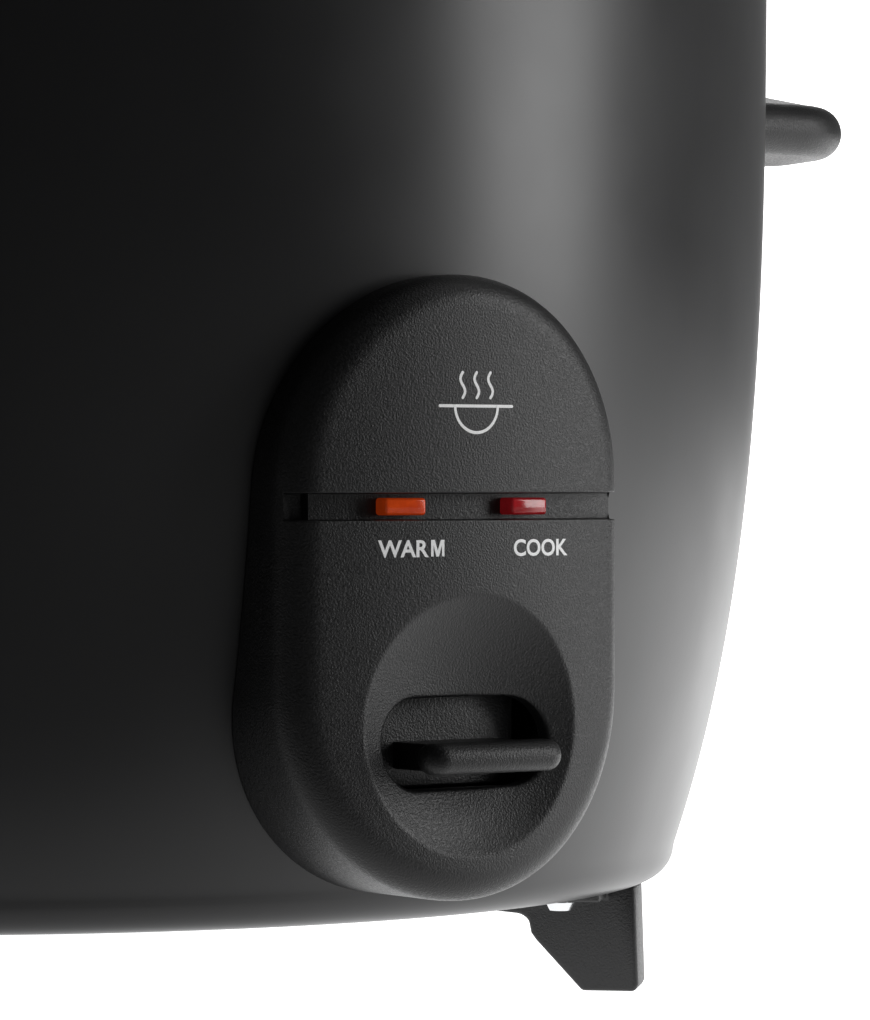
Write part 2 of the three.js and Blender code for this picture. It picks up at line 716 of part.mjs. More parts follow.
function foot() {
  const outer = underRadius + 0.2;
  const top = footHeight - fit;
  const inner = outer - footLength;
  const tipZ = top - footTip;
  const leg = [
    [inner, tipZ], [inner + 6.3, tipZ - 0.6], [inner + 7.6, tipZ - 1.5], [inner + 8, tipZ - 3.6],
    [inner + 8.8, tipZ - 4.7], [outer - footSole, 0], [outer, 0], [outer + 0.5, 1.1],
    [outer, top], [inner, top],
  ];
  const turn = new THREE.Matrix4().makeRotationX(Math.PI / 2);
  const legSolid = solid(extruded(leg, footWidth).applyMatrix4(turn).translate(0, footWidth / 2, 0));
  const pad = box(inner, outer - 4.5, -footPad / 2, footPad / 2, top - footPadThick, top);
  const [screwOut, screwSide] = footScrewAt;
  return cut(join(legSolid, pad), rod(holeRadius, 9, 'z', screwOut, screwSide, top - 5));
}

function addFoot(place, degrees) {
  const group = groupAt(0, 0, 0, 0, 0, THREE.MathUtils.degToRad(degrees));
  add(`foot_${place}`, foot(), 'blackPlastic', group);
  const seat = new THREE.Group();
  seat.position.set(...footScrewAt, footHeight - footPadThick - 2 * fit);
  group.add(seat);
  add(`foot_screw_${place}`, screw(6, screwRadius, footScrewHead, footScrewHeight), 'steel', seat);
}

// A side handle towards +X: a rounded grip, cored from below for the fingers.
function handle() {
  const back = drumRadius - handleOverlap;
  const half = handleTip / 2;
  const slope = (handleRoot - handleTip) / 2 / (handleReach - half);
  const ring = (inset, z) => {
    const length = 2 * (handleReach + handleOverlap - inset);
    const radius = Math.max(handleCorner - inset, 1);
    return rounded(length, handleWidth - 2 * inset, radius, back, 0, 4).map(([x, y]) => [x, y, handleZ + z]);
  };
  const edge = arc(0, 0, 1, -90, 90, 8).map(([cos, sin]) => ring(half * (1 - cos), half * sin));
  const flat = handleReach - half;
  const [low, high] = [-1, 1].map(side => ring(half + flat, side * (half + slope * flat)));
  let grip = skinned([low, ...edge, high]);
  const pocketLength = handleReach - 12;
  const pocketX = drumRadius + pocketLength / 2 + 7.5;
  const pocket = rounded(pocketLength, handleWidth - 2 * handleEdge, 6, pocketX, 0, 2);
  grip = cut(grip, alongZ(pocket, handleZ - handleRoot, handleZ), drumCutter);
  for (const y of handleScrews) {
    grip = cut(grip, rod(holeRadius, drumRadius, 'x', screwHold, y, handleZ));
  }
  return grip;
}

function addHandle(side, turn) {
  const group = groupAt(0, 0, 0, 0, 0, turn);
  add(`handle_${side}`, handle(), 'blackPlastic', group);
  handleScrews.forEach((y, i) => {
    const seat = new THREE.Group();
    seat.position.set(headSeat(handleZ, Math.abs(y) + screwHead), y, handleZ);
    seat.rotation.set(0, Math.PI / 2, 0);
    group.add(seat);
    const length = drumRadius + screwHold - holeSpare - seat.position.x;
    add(`handle_screw_${side}_${i + 1}`, screw(length), 'steel', seat);
  });
}

const inletFace = skinRadius(inletZ) + inletProud;
const inletBack = inletFace - inletDepth;

function powerInlet() {
  const flangeSize = [inletWidth + 2 * inletFlange, inletHeight + 8];
  const flange = alongY(rounded(...flangeSize, 5, 0, inletZ, 3), inletFace - 14, inletFace);
  const housing = alongY(rounded(inletWidth, inletHeight, 1.7, 0, inletZ, 2), inletBack, inletFace);
  const [w, h] = [inletWidth - 2 * inletWall, inletHeight - 2 * inletWall];
  const socket = alongY(rounded(w, h, 2, 0, inletZ, 2), inletBack + inletWall, inletFace + 1);
  let inlet = cut(join(cut(flange, drumCutter), housing), socket);
  for (const x of [-inletScrewX, inletScrewX]) {
    inlet = cut(inlet, rod(holeRadius, 40, 'y', x, inletFace - 30, inletZ));
  }
  const [wide, high] = [pinWidth / 2 + fit, pinThick / 2 + fit];
  for (const [x, side] of Object.values(pinPlaces)) {
    const z = inletZ + side;
    inlet = cut(inlet, box(x - wide, x + wide, inletBack - 1, inletBack + 4, z - high, z + high));
  }
  return inlet;
}

const pinPlaces = { line: [-7, -1.5], neutral: [7, -1.5], earth: [0, 3] };

function inletPin([x, z]) {
  const [wide, high] = [pinWidth / 2, pinThick / 2];
  return box(x - wide, x + wide, inletBack - 7, inletFace - 5, inletZ + z - high, inletZ + z + high);
}

// ---------------------------------------------------------------- pot and lid

function innerPot() {
  const rimEdge = potRadius + potFlare + potRim;
  const flareZ = potRimZ - potFlare;
  const cornerX = potRadius - potCorner;
  return turned([
    [0, potBottom], ...arc(cornerX, potBottom + potCorner, potCorner, -90, 0, 3),
    ...arc(potRadius + potFlare, flareZ, potFlare, 180, 90, 2), [rimEdge, potRimZ], [rimEdge, potTop],
    ...arc(potRadius + potFlare, flareZ, potFlare + potWall, 90, 180, 2),
    ...arc(cornerX, potBottom + potCorner, potCorner - potWall, 0, -90, 3), [0, potBottom + potWall],
  ]);
}

const bandOuter = potRadius + potFlare + potRim - 2.5;
const bandInner = bandOuter - bandReach;
const skirtRadius = potRadius - potWall - skirtPlay - bandWall;
const bandBottom = potTop + fit;
const glassEdge = bandOuter - bandWall - fit;
const glassLow = bandBottom + bandWall + fit;
const bandTop = glassLow + glassThick + fit + bandWall;
const domeRadius = bandInner - 2;

// Underside of the glass at radius r: a flat edge, then a shallow dome.
const glassZ = r => glassLow + glassDome * Math.max(0, 1 - (r / domeRadius) ** 2);

function lidBand() {
  return turned([
    [skirtRadius, bandBottom + bandWall], [skirtRadius, bandBottom - skirtDepth],
    [skirtRadius + bandWall, bandBottom - skirtDepth], [skirtRadius + bandWall, bandBottom],
    [bandOuter, bandBottom], [bandOuter, bandTop], [bandInner, bandTop], [bandInner, bandTop - bandWall],
    [bandOuter - bandWall, bandTop - bandWall], [bandOuter - bandWall, bandBottom + bandWall],
  ]);
}

const knobScrewRadius = 2;
const washerRadius = 8;
const ventHole = 3.6;

function lidGlass() {
  const radii = [knobScrewRadius + 1, 25, 50, 75, domeRadius - 8, domeRadius, glassEdge];
  const under = radii.map(r => [r, glassZ(r)]);
  const over = radii.map(r => [r, glassZ(r) + glassThick]).reverse();
  return cut(turned([...under, ...over]), rod(ventHole, 60, 'z', ventRadius, 0, glassLow, 16));
}

const glassTop = glassLow + glassDome + glassThick;

function lidKnob() {
  const base = glassTop + fit;
  const top = base + knobHeight;
  const knob = turned([
    [0, base], [12, base], [12, base + 2.5], [8.5, base + 8], [9.5, base + 13], [knobRadius - 2, top - 10],
    [knobRadius, top - 7], [knobRadius - 1.5, top - 3], [knobRadius - 7, top - 0.6], [0, top],
  ], 20);
  return cut(knob, rod(knobScrewRadius + fit, 14, 'z', 0, 0, base - 1));
}

const washerTop = glassZ(washerRadius) - fit;
const lidWasher = () => turned([
  [knobScrewRadius + fit, washerTop - 1.2], [washerRadius, washerTop - 1.2],
  [washerRadius, washerTop], [knobScrewRadius + fit, washerTop],
], 20);

function steamVent() {
  const sleeve = ventHole - fit - 0.2;
  const [low, high] = [-glassThick / 2 - fit - 0.3, glassThick / 2 + fit + 0.3];
  const vent = turned([
    [1.8, low - 0.8], [6, low - 0.8], [6, low], [sleeve, low], [sleeve, high],
    [6, high], [6, high + 0.8], [1.8, high + 0.8],
  ], 16);
  const slope = Math.atan(2 * glassDome * ventRadius / domeRadius ** 2);
  add('steam_vent', vent, 'steel', groupAt(ventRadius, 0, glassZ(ventRadius) + glassThick / 2, 0, slope));
}

// ---------------------------------------------------------------- assembly

add('outer_shell', outerShell(), 'blackSteel');
add('inner_liner', innerLiner(), 'aluminium');
add('base_plate', basePlate(), 'zinc');
for (const [place, degrees] of Object.entries(footAngles)) addFoot(place, degrees);

add('heating_plate', heatingPlate(), 'aluminium');
plateScrewPlaces.forEach(([x, y], i) => {
  add(`plate_screw_${i + 1}`, screw(plateBottom + 5 - floorZ, plateScrewRadius), 'steel',
    groupAt(x, y, floorZ - fit));
});
terminalPlaces.forEach(([x, y], i) => add(`heater_terminal_${i + 1}`, heaterTerminal(x, y), 'ceramic'));

add('sensor_cap', sensorCap(), 'aluminium');
add('ferrite_disc', rod(11, ferriteHeight, 'z', 0, 0, ferriteTop - ferriteHeight, 20), 'ferrite');
add('thermostat_magnet', rod(magnetRadius, magnetHeight, 'z', 0, 0, magnetTop - magnetHeight, 20), 'ferrite');
add('pull_rod', pullRod(), 'steel');
add('thermostat_housing', thermostatHousing(), 'zinc');
add('sensor_spring', spring(sleeveRadius + 1.15, floorZ, ferriteTop), 'steel');
add('release_spring', spring(rodRadius + 2, rodBottom + collarHeight + fit, housingBase - fit), 'steel');

add('keep_warm_heater', keepWarmHeater(), 'mica');
add('keep_warm_thermostat', keepWarmThermostat(), 'ceramic');
add('thermal_fuse', thermalFuse(), 'ceramic');

add('control_panel', controlPanel(), 'blackPlastic');
addSignal('warm', -1, 'amberLens');
addSignal('cook', 1, 'redLens');
bossHeights.forEach(panelScrew);

add('lever_knob', leverKnob(), 'blackPlastic');
add('lever_arm', leverArm(), 'steel');
add('lever_bracket', leverBracket(), 'zinc');
add('lever_pin', leverPin(), 'steel');
add('microswitch', microswitch(), 'blackPlastic');
add('switch_plunger', switchPlunger(), 'blackPlastic');

addHandle('right', 0);
addHandle('left', Math.PI);

add('power_inlet', powerInlet(), 'blackPlastic');
for (const [name, place] of Object.entries(pinPlaces)) {
  add(`inlet_pin_${name}`, inletPin(place), 'brass');
}
[-inletScrewX, inletScrewX].forEach((x, i) => {
  add(`inlet_screw_${i + 1}`, screw(inletProud + 6), 'steel',
    groupAt(x, inletFace + fit, inletZ, Math.PI / 2));
});

add('inner_pot', innerPot(), 'nonStick');
add('lid_glass', lidGlass(), 'glass');
add('lid_band', lidBand(), 'steel');
add('lid_knob', lidKnob(), 'blackPlastic');
add('lid_washer', lidWasher(), 'steel');
add('lid_screw', screw(14, knobScrewRadius), 'steel', groupAt(0, 0, washerTop - 1.2 - fit));
steamVent();

riceCooker.position.y = (faceRadius + barProud - drumRadius) / 2;

export default riceCooker;
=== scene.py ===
# Drum rice cooker: painted drum, front panel with lamps and cook lever, side handles, feet, pot and lid.
# Metres, +Z up, panel towards -Y. The object is put together from the outside of the drum inwards.

import math

import bmesh
import bpy
from mathutils import Matrix, Vector
from mathutils.geometry import delaunay_2d_cdt


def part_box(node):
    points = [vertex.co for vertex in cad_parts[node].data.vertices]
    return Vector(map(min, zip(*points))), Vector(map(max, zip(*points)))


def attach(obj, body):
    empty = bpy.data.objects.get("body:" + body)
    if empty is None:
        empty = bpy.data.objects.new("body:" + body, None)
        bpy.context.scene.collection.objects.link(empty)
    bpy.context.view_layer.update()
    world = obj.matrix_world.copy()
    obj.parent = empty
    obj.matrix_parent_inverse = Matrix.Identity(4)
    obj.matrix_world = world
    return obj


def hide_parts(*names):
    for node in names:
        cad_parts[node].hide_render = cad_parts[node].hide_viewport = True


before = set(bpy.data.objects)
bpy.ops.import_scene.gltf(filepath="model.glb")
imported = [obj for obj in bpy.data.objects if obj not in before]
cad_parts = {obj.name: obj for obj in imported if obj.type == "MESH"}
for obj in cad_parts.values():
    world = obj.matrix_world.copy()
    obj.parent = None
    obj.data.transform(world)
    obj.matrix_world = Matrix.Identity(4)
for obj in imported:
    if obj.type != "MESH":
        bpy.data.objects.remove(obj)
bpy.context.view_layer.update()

# ---------------------------------------------------------------- camera
# A long lens close to the worktop, looking up the drum from the left of the control panel.

shell_low, shell_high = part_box("outer_shell")
axis_y = (shell_low.y + shell_high.y) / 2
view_turn = math.radians(36.2)
view_reach = 0.7628
view_aside = 0.0717
view_height = 0.0809
view_tilt = 0.007

camera = bpy.data.objects.new("camera", bpy.data.cameras.new("camera"))
bpy.context.scene.collection.objects.link(camera)
camera.data.lens = 166.7
camera.data.clip_start = 0.02
ahead = Vector((math.sin(view_turn), math.cos(view_turn), 0))
rightward = Vector((math.cos(view_turn), -math.sin(view_turn), 0))
camera.location = Vector((0, axis_y, view_height)) - view_reach * ahead + view_aside * rightward
camera.rotation_euler = (math.pi / 2 - view_tilt, 0, -view_turn)
bpy.context.scene.camera = camera

# ---------------------------------------------------------------- studio
# White floor and curved backdrop in one sheet that glows behind the object, and two soft panels: a
# tall one on the right for the drum, and a small weak one above.


def new_object(name, mesh):
    obj = bpy.data.objects.new(name, mesh)
    bpy.context.scene.collection.objects.link(obj)
    return obj


def mesh_of(name, points, faces):
    mesh = bpy.data.meshes.new(name)
    mesh.from_pydata(points, [], faces)
    mesh.update()
    return mesh


def new_material(name, **values):
    material = bpy.data.materials.new(name)
    material.use_nodes = True
    shader = material.node_tree.nodes["Principled BSDF"]
    for socket, value in values.items():
        shader.inputs[socket.replace("_", " ")].default_value = value
    return material


sweep_front = -5.0
sweep_back = 4.5
sweep_bend = 1.0
sweep_side = 6.0
sweep_top = 5.0
outline = [(sweep_front, 0.0)]
for i in range(13):
    angle = math.pi / 2 * i / 12
    reach = sweep_back - sweep_bend + sweep_bend * math.sin(angle)
    outline.append((reach, sweep_bend * (1 - math.cos(angle))))
outline.append((sweep_back, sweep_top))
points = [(side, y, z) for y, z in outline for side in (-sweep_side, sweep_side)]
faces = [(2 * i, 2 * i + 1, 2 * i + 3, 2 * i + 2) for i in range(len(outline) - 1)]
backdrop = new_object("backdrop", mesh_of("backdrop", points, faces))
backdrop.rotation_euler = (0, 0, -view_turn)
for polygon in backdrop.data.polygons:
    polygon.use_smooth = True
paper = new_material("studio_paper", Roughness=0.9)
paper_shader = paper.node_tree.nodes["Principled BSDF"]
paper_shader.inputs["Base Color"].default_value = (0.45, 0.45, 0.45, 1)
paper_shader.inputs["Emission Color"].default_value = (1, 1, 1, 1)

# The paper glows behind the object only, wide on the floor and narrow higher up.
glow = 1.0
glow_rest = 0.06
glow_fade = 0.4
glow_right = 2.0
floor_half, wall_half = 0.85, 0.7
fade_front = (-0.18, -0.07)


def sums(tree, operation, *values):
    """A Math node in a shader or geometry tree, its inputs numbers or other nodes' outputs."""
    node = tree.nodes.new("ShaderNodeMath")
    node.operation = operation
    for i, value in enumerate(values):
        if isinstance(value, (int, float)):
            node.inputs[i].default_value = value
        else:
            tree.links.new(value, node.inputs[i])
    return node.outputs[0]


def mapped(tree, value, *ends):
    """A value mapped from a range (the first two ends) to another (the last two), clamped."""
    node = tree.nodes.new("ShaderNodeMapRange")
    for socket, number in zip(("From Min", "From Max", "To Min", "To Max"), ends):
        node.inputs[socket].default_value = number
    tree.links.new(value, node.inputs["Value"])
    return node.outputs["Result"]


glowing = paper.node_tree
paper_place = glowing.nodes.new("ShaderNodeTexCoord")
paper_xyz = glowing.nodes.new("ShaderNodeSeparateXYZ")
glowing.links.new(paper_place.outputs["Object"], paper_xyz.inputs["Vector"])
half_width = mapped(glowing, paper_xyz.outputs["Z"], 0.0, 0.3, floor_half, wall_half)
past_side = sums(glowing, "SUBTRACT", sums(glowing, "ABSOLUTE", paper_xyz.outputs["X"]), half_width)
sideways = mapped(glowing, past_side, 0.0, glow_fade, glow, glow_rest)
frontways = mapped(glowing, paper_xyz.outputs["Y"], *fade_front, glow_rest, 1.0)
right_share = mapped(glowing, paper_xyz.outputs["X"], 0.0, 0.2, 1.0, glow_right)
strength = sums(glowing, "MULTIPLY", sums(glowing, "MULTIPLY", sideways, frontways), right_share)
glowing.links.new(strength, paper_shader.inputs["Emission Strength"])
backdrop.data.materials.append(paper)


def soft_light(name, size, place, aim, power):
    data = bpy.data.lights.new(name, "AREA")
    data.shape = "RECTANGLE"
    data.size, data.size_y = size
    data.energy = power
    lamp = bpy.data.objects.new(name, data)
    bpy.context.scene.collection.objects.link(lamp)
    lamp.location = place
    lamp.rotation_euler = (Vector(aim) - Vector(place)).to_track_quat("-Z", "Y").to_euler()


# Each panel: its size, its place from the object's middle (to the right, ahead, up) and its power.
middle = Vector((0, 0, 0.1))
panels = {"right_softbox": ((0.55, 1.3), (1.5, -0.12, 0.25), 15),
          "top_softbox": ((0.6, 0.6), (0.9, 0.1, 1.3), 1.2)}
for name, (size, (right, forward, up), power) in panels.items():
    place = middle + right * rightward + forward * ahead + Vector((0, 0, up))
    soft_light(name, size, place, middle, power)

world = bpy.data.worlds.new("dim_room")
world.use_nodes = True
world.node_tree.nodes["Background"].inputs["Color"].default_value = (0.05, 0.05, 0.05, 1)
bpy.context.scene.world = world
bpy.context.scene.view_settings.view_transform = "Standard"

# ---------------------------------------------------------------- drum
# Deep-drawn steel can, rolled in at the rim and turned under at the bottom, sprayed satin black.
# The windows behind the panel and round the inlet are cut out of its wall.


def growing_tree(name, inputs):
    """An empty Geometry Nodes tree with these named inputs: its group input and output nodes."""
    tree = bpy.data.node_groups.new(name, "GeometryNodeTree")
    tree.interface.new_socket("Geometry", in_out="INPUT", socket_type="NodeSocketGeometry")
    for label, kind in inputs.items():
        tree.interface.new_socket(label, in_out="INPUT", socket_type="NodeSocket" + kind)
    tree.interface.new_socket("Geometry", in_out="OUTPUT", socket_type="NodeSocketGeometry")
    return tree, tree.nodes.new("NodeGroupInput"), tree.nodes.new("NodeGroupOutput")


def closing(tree, given, result, shape):
    """Ends a tree: instances made real, material set."""
    real = tree.nodes.new("GeometryNodeRealizeInstances")
    painted = tree.nodes.new("GeometryNodeSetMaterial")
    tree.links.new(shape, real.inputs["Geometry"])
    tree.links.new(real.outputs["Geometry"], painted.inputs["Geometry"])
    tree.links.new(given.outputs["Material"], painted.inputs["Material"])
    tree.links.new(painted.outputs["Geometry"], result.inputs["Geometry"])


def grown(name, tree, values, start=None):
    """Runs a tree on a start mesh and returns its result as a plain mesh."""
    holder = new_object(name, start or bpy.data.meshes.new(name))
    modifier = holder.modifiers.new("grow", "NODES")
    modifier.node_group = tree
    for item in tree.interface.items_tree:
        if item.item_type == "SOCKET" and item.in_out == "INPUT" and item.name in values:
            modifier[item.identifier] = values[item.name]
    return settle(holder)


def settle(obj):
    """Applies every modifier of an object to its mesh."""
    graph = bpy.context.evaluated_depsgraph_get()
    graph.update()
    mesh = bpy.data.meshes.new_from_object(obj.evaluated_get(graph))
    name = obj.name
    bpy.data.objects.remove(obj)
    mesh.name = name
    return mesh


def cut_away(mesh, cutters):
    """The mesh with each cutter mesh taken out of it."""
    holder = new_object(mesh.name, mesh)
    knives = [new_object("knife", cutter) for cutter in cutters]
    for knife in knives:
        modifier = holder.modifiers.new("cut", "BOOLEAN")
        modifier.object = knife
        modifier.solver = "EXACT"
    result = settle(holder)
    for knife in knives:
        bpy.data.objects.remove(knife)
    return result


def block(low, high):
    corners = [(x, y, z) for x in (low[0], high[0]) for y in (low[1], high[1]) for z in (low[2], high[2])]
    faces = [(0, 1, 3, 2), (4, 6, 7, 5), (0, 4, 5, 1), (2, 3, 7, 6), (0, 2, 6, 4), (1, 5, 7, 3)]
    return mesh_of("block", corners, faces)


def outward(mesh):
    """Doubles merged and every face turned outwards."""
    work = bmesh.new()
    work.from_mesh(mesh)
    bmesh.ops.remove_doubles(work, verts=work.verts, dist=2e-6)
    bmesh.ops.recalc_face_normals(work, faces=work.faces)
    work.to_mesh(mesh)
    work.free()


def fit_piece(name, mesh, material, body, replaced=(), sharp=32):
    """Shades a finished mesh, gives it its material and fixes it to its body."""
    mesh.materials.clear()
    mesh.materials.append(material)
    for polygon in mesh.polygons:
        polygon.use_smooth = True
        polygon.material_index = 0
    mesh.set_sharp_from_angle(angle=math.radians(sharp))
    piece = new_object(name, mesh)
    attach(piece, body)
    if replaced:
        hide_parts(*replaced)
    return piece


def noise_on(material, scale, detail=2.0, stretch=(1, 1, 1)):
    """A noise texture on object coordinates, one feature to 1/scale metres."""
    tree = material.node_tree
    place = tree.nodes.new("ShaderNodeTexCoord")
    mapping = tree.nodes.new("ShaderNodeMapping")
    mapping.inputs["Scale"].default_value = stretch
    noise = tree.nodes.new("ShaderNodeTexNoise")
    noise.inputs["Scale"].default_value = scale
    noise.inputs["Detail"].default_value = detail
    tree.links.new(place.outputs["Object"], mapping.inputs["Vector"])
    tree.links.new(mapping.outputs["Vector"], noise.inputs["Vector"])
    return noise.outputs["Fac"]


def spread(material, value, low, high, socket):
    """Maps a texture value to low..high and drives a shader socket with it."""
    tree = material.node_tree
    tree.links.new(mapped(tree, value, 0.3, 0.7, low, high), tree.nodes["Principled BSDF"].inputs[socket])


def tint(material, value, dark, light):
    tree = material.node_tree
    ramp = tree.nodes.new("ShaderNodeValToRGB")
    ramp.color_ramp.elements[0].position = 0.35
    ramp.color_ramp.elements[0].color = (*dark, 1)
    ramp.color_ramp.elements[1].position = 0.65
    ramp.color_ramp.elements[1].color = (*light, 1)
    tree.links.new(value, ramp.inputs["Fac"])
    tree.links.new(ramp.outputs["Color"], tree.nodes["Principled BSDF"].inputs["Base Color"])


def relief(material, value, depth, strength=1.0):
    tree = material.node_tree
    bump = tree.nodes.new("ShaderNodeBump")
    bump.inputs["Distance"].default_value = depth
    bump.inputs["Strength"].default_value = strength
    shader = tree.nodes["Principled BSDF"]
    if shader.inputs["Normal"].is_linked:
        tree.links.new(shader.inputs["Normal"].links[0].from_socket, bump.inputs["Normal"])
    tree.links.new(value, bump.inputs["Height"])
    tree.links.new(bump.outputs["Normal"], shader.inputs["Normal"])


drum_paint = new_material("drum_paint")
tint(drum_paint, noise_on(drum_paint, 18), (0.006, 0.006, 0.0066), (0.0078, 0.0078, 0.0085))
spread(drum_paint, noise_on(drum_paint, 40, 3), 0.31, 0.36, "Roughness")
relief(drum_paint, noise_on(drum_paint, 900, 1), 0.00001, 0.35)

drum_radius = 0.125
drum_height = shell_high.z - shell_low.z
drum_foot = shell_low.z
taper_height = 0.188
taper_depth = 0.0167
taper_power = 4.1
bottom_corner = 0.0052
rim_roll = 0.005
rim_lip = 0.0035
bottom_flange = 0.0064
drum_sheet = 0.0009
axis = Vector((0, axis_y, 0))


def drum_skin(z):
    below = max(0.0, 1 - (z - drum_foot) / taper_height)
    return drum_radius - taper_depth * below ** taper_power


drum_tree, drum_in, drum_out = growing_tree("drawn_drum", {
    "Radius": "Float", "Height": "Float", "Taper Height": "Float", "Taper Depth": "Float",
    "Taper Power": "Float", "Corner": "Float", "Roll": "Float", "Flange": "Float", "Lip": "Float",
    "Place": "Vector", "Steps": "Int", "Rows": "Int", "Material": "Material"})
sheet = drum_tree.nodes.new("GeometryNodeMeshGrid")
sheet.inputs["Size X"].default_value = 1
sheet.inputs["Size Y"].default_value = 1
drum_tree.links.new(sums(drum_tree, "ADD", drum_in.outputs["Steps"], 1), sheet.inputs["Vertices X"])
drum_tree.links.new(drum_in.outputs["Rows"], sheet.inputs["Vertices Y"])
where = drum_tree.nodes.new("GeometryNodeInputPosition")
parted = drum_tree.nodes.new("ShaderNodeSeparateXYZ")
drum_tree.links.new(where.outputs["Position"], parted.inputs["Vector"])


def drum_sum(operation, *values):
    return sums(drum_tree, operation, *values)


given = drum_in.outputs
turn = drum_sum("MULTIPLY", drum_sum("ADD", parted.outputs["X"], 0.5), 2 * math.pi)
edge = drum_sum("DIVIDE", 1, drum_sum("SUBTRACT", given["Rows"], 3))
span = drum_sum("MULTIPLY_ADD", edge, 2, 1)
along = drum_sum("SUBTRACT", drum_sum("MULTIPLY", drum_sum("ADD", parted.outputs["Y"], 0.5), span), edge)
clamped = drum_sum("MINIMUM", drum_sum("MAXIMUM", along, 0), 1)
wave = drum_sum("COSINE", drum_sum("MULTIPLY", clamped, math.pi))
rise = drum_sum("MULTIPLY", drum_sum("MULTIPLY", drum_sum("SUBTRACT", 1, wave), 0.5), given["Height"])
wall_top = drum_sum("SUBTRACT", given["Height"], given["Roll"])
wall_at = drum_sum("MINIMUM", drum_sum("MAXIMUM", rise, given["Corner"]), wall_top)
below = drum_sum("MAXIMUM", 0, drum_sum("SUBTRACT", 1, drum_sum("DIVIDE", wall_at, given["Taper Height"])))
drawn_in = drum_sum("MULTIPLY", given["Taper Depth"], drum_sum("POWER", below, given["Taper Power"]))


def rounding(radius, past):
    """How far a corner of this radius has turned in at a place `past` its straight part."""
    reached = drum_sum("MAXIMUM", past, 0)
    left = drum_sum("SUBTRACT", drum_sum("MULTIPLY", radius, radius), drum_sum("MULTIPLY", reached, reached))
    return drum_sum("SUBTRACT", radius, drum_sum("SQRT", drum_sum("MAXIMUM", 0, left)))


def share_of(width, past):
    """The inward reach of a flat edge strip of this width, from how far along it a point is."""
    return drum_sum("MULTIPLY", drum_sum("DIVIDE", drum_sum("MAXIMUM", 0, past), edge), width)


reach = given["Radius"]
for taken in (drawn_in, rounding(given["Corner"], drum_sum("SUBTRACT", given["Corner"], rise)),
              rounding(given["Roll"], drum_sum("SUBTRACT", rise, wall_top)),
              share_of(given["Flange"], drum_sum("MULTIPLY", along, -1)),
              share_of(given["Lip"], drum_sum("SUBTRACT", along, 1))):
    reach = drum_sum("SUBTRACT", reach, taken)
placed = drum_tree.nodes.new("ShaderNodeCombineXYZ")
for letter, value in (("X", drum_sum("MULTIPLY", reach, drum_sum("COSINE", turn))),
                      ("Y", drum_sum("MULTIPLY", reach, drum_sum("SINE", turn))), ("Z", rise)):
    drum_tree.links.new(value, placed.inputs[letter])
set_place = drum_tree.nodes.new("GeometryNodeSetPosition")
drum_tree.links.new(sheet.outputs["Mesh"], set_place.inputs["Geometry"])
drum_tree.links.new(placed.outputs["Vector"], set_place.inputs["Position"])
drum_tree.links.new(drum_in.outputs["Place"], set_place.inputs["Offset"])
welded = drum_tree.nodes.new("GeometryNodeMergeByDistance")
welded.inputs["Distance"].default_value = 1e-5
drum_tree.links.new(set_place.outputs["Geometry"], welded.inputs["Geometry"])
closing(drum_tree, drum_in, drum_out, welded.outputs["Geometry"])

drum_mesh = grown("drum", drum_tree, {
    "Radius": drum_radius, "Height": drum_height, "Taper Height": taper_height, "Taper Depth": taper_depth,
    "Taper Power": taper_power, "Corner": bottom_corner, "Roll": rim_roll, "Flange": bottom_flange,
    "Lip": rim_lip, "Place": Vector((0, axis_y, drum_foot)), "Steps": 240, "Rows": 110,
    "Material": drum_paint})
thick = new_object("drum", drum_mesh)
walls = thick.modifiers.new("walls", "SOLIDIFY")
walls.thickness = drum_sheet
walls.offset = -1
drum_mesh = settle(thick)

panel_low, panel_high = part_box("control_panel")
knob_low, knob_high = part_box("lever_knob")
inlet_low, inlet_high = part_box("power_inlet")
lens_low, lens_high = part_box("lens_warm")
lens_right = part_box("lens_cook")[1].x
inlet_wide = 0.0138
inlet_flange = 0.0037
windows = [
    block((-0.011, axis_y - 0.13, knob_low.z - 0.0015), (0.011, axis_y - 0.09, knob_high.z - 0.002)),
    block((lens_low.x - 0.002, axis_y - 0.13, lens_low.z), (lens_right + 0.002, axis_y - 0.1, lens_high.z)),
    block((-inlet_wide, axis_y + 0.08, inlet_low.z + inlet_flange),
          (inlet_wide, axis_y + 0.13, inlet_high.z - inlet_flange)),
]
drum_mesh = cut_away(drum_mesh, windows)
fit_piece("drum_shell", drum_mesh, drum_paint, "housing", ["outer_shell"])

# ---------------------------------------------------------------- control panel
# Upright moulding in fine-spark black plastic with a curved face, a soft edge, a lamp groove open at
# its right end, and a finger dish round the lever's slot. Two screws hold it from inside the drum.

black_plastic = new_material("black_plastic")
black_plastic.node_tree.nodes["Principled BSDF"].inputs["Specular IOR Level"].default_value = 0.38
tint(black_plastic, noise_on(black_plastic, 2600, 1), (0.003, 0.003, 0.0033), (0.0085, 0.0085, 0.009))
spread(black_plastic, noise_on(black_plastic, 2600, 1), 0.34, 0.5, "Roughness")
relief(black_plastic, noise_on(black_plastic, 3400, 2), 0.00012, 0.75)

face_radius = axis_y - panel_low.y
panel_half = (panel_high.x - panel_low.x) / 2
panel_wall = 0.0024
panel_fillet = 0.0045
groove_z = (lens_low.z + lens_high.z) / 2
groove_half = 0.00195
groove_depth = 0.004
groove_left = 0.0287
groove_draft = 20.0
dish_z = 0.0462
dish_half = 0.0183
dish_depth = 0.0044
dish_stretch = 1.17
dish_ball = (dish_half ** 2 + dish_depth ** 2) / (2 * dish_depth)
slot_z = 0.0438
slot_wide = 0.0288
slot_high = 0.0127
slot_edge = 0.0005
crest = 0.00022
surface_gap = 0.0003


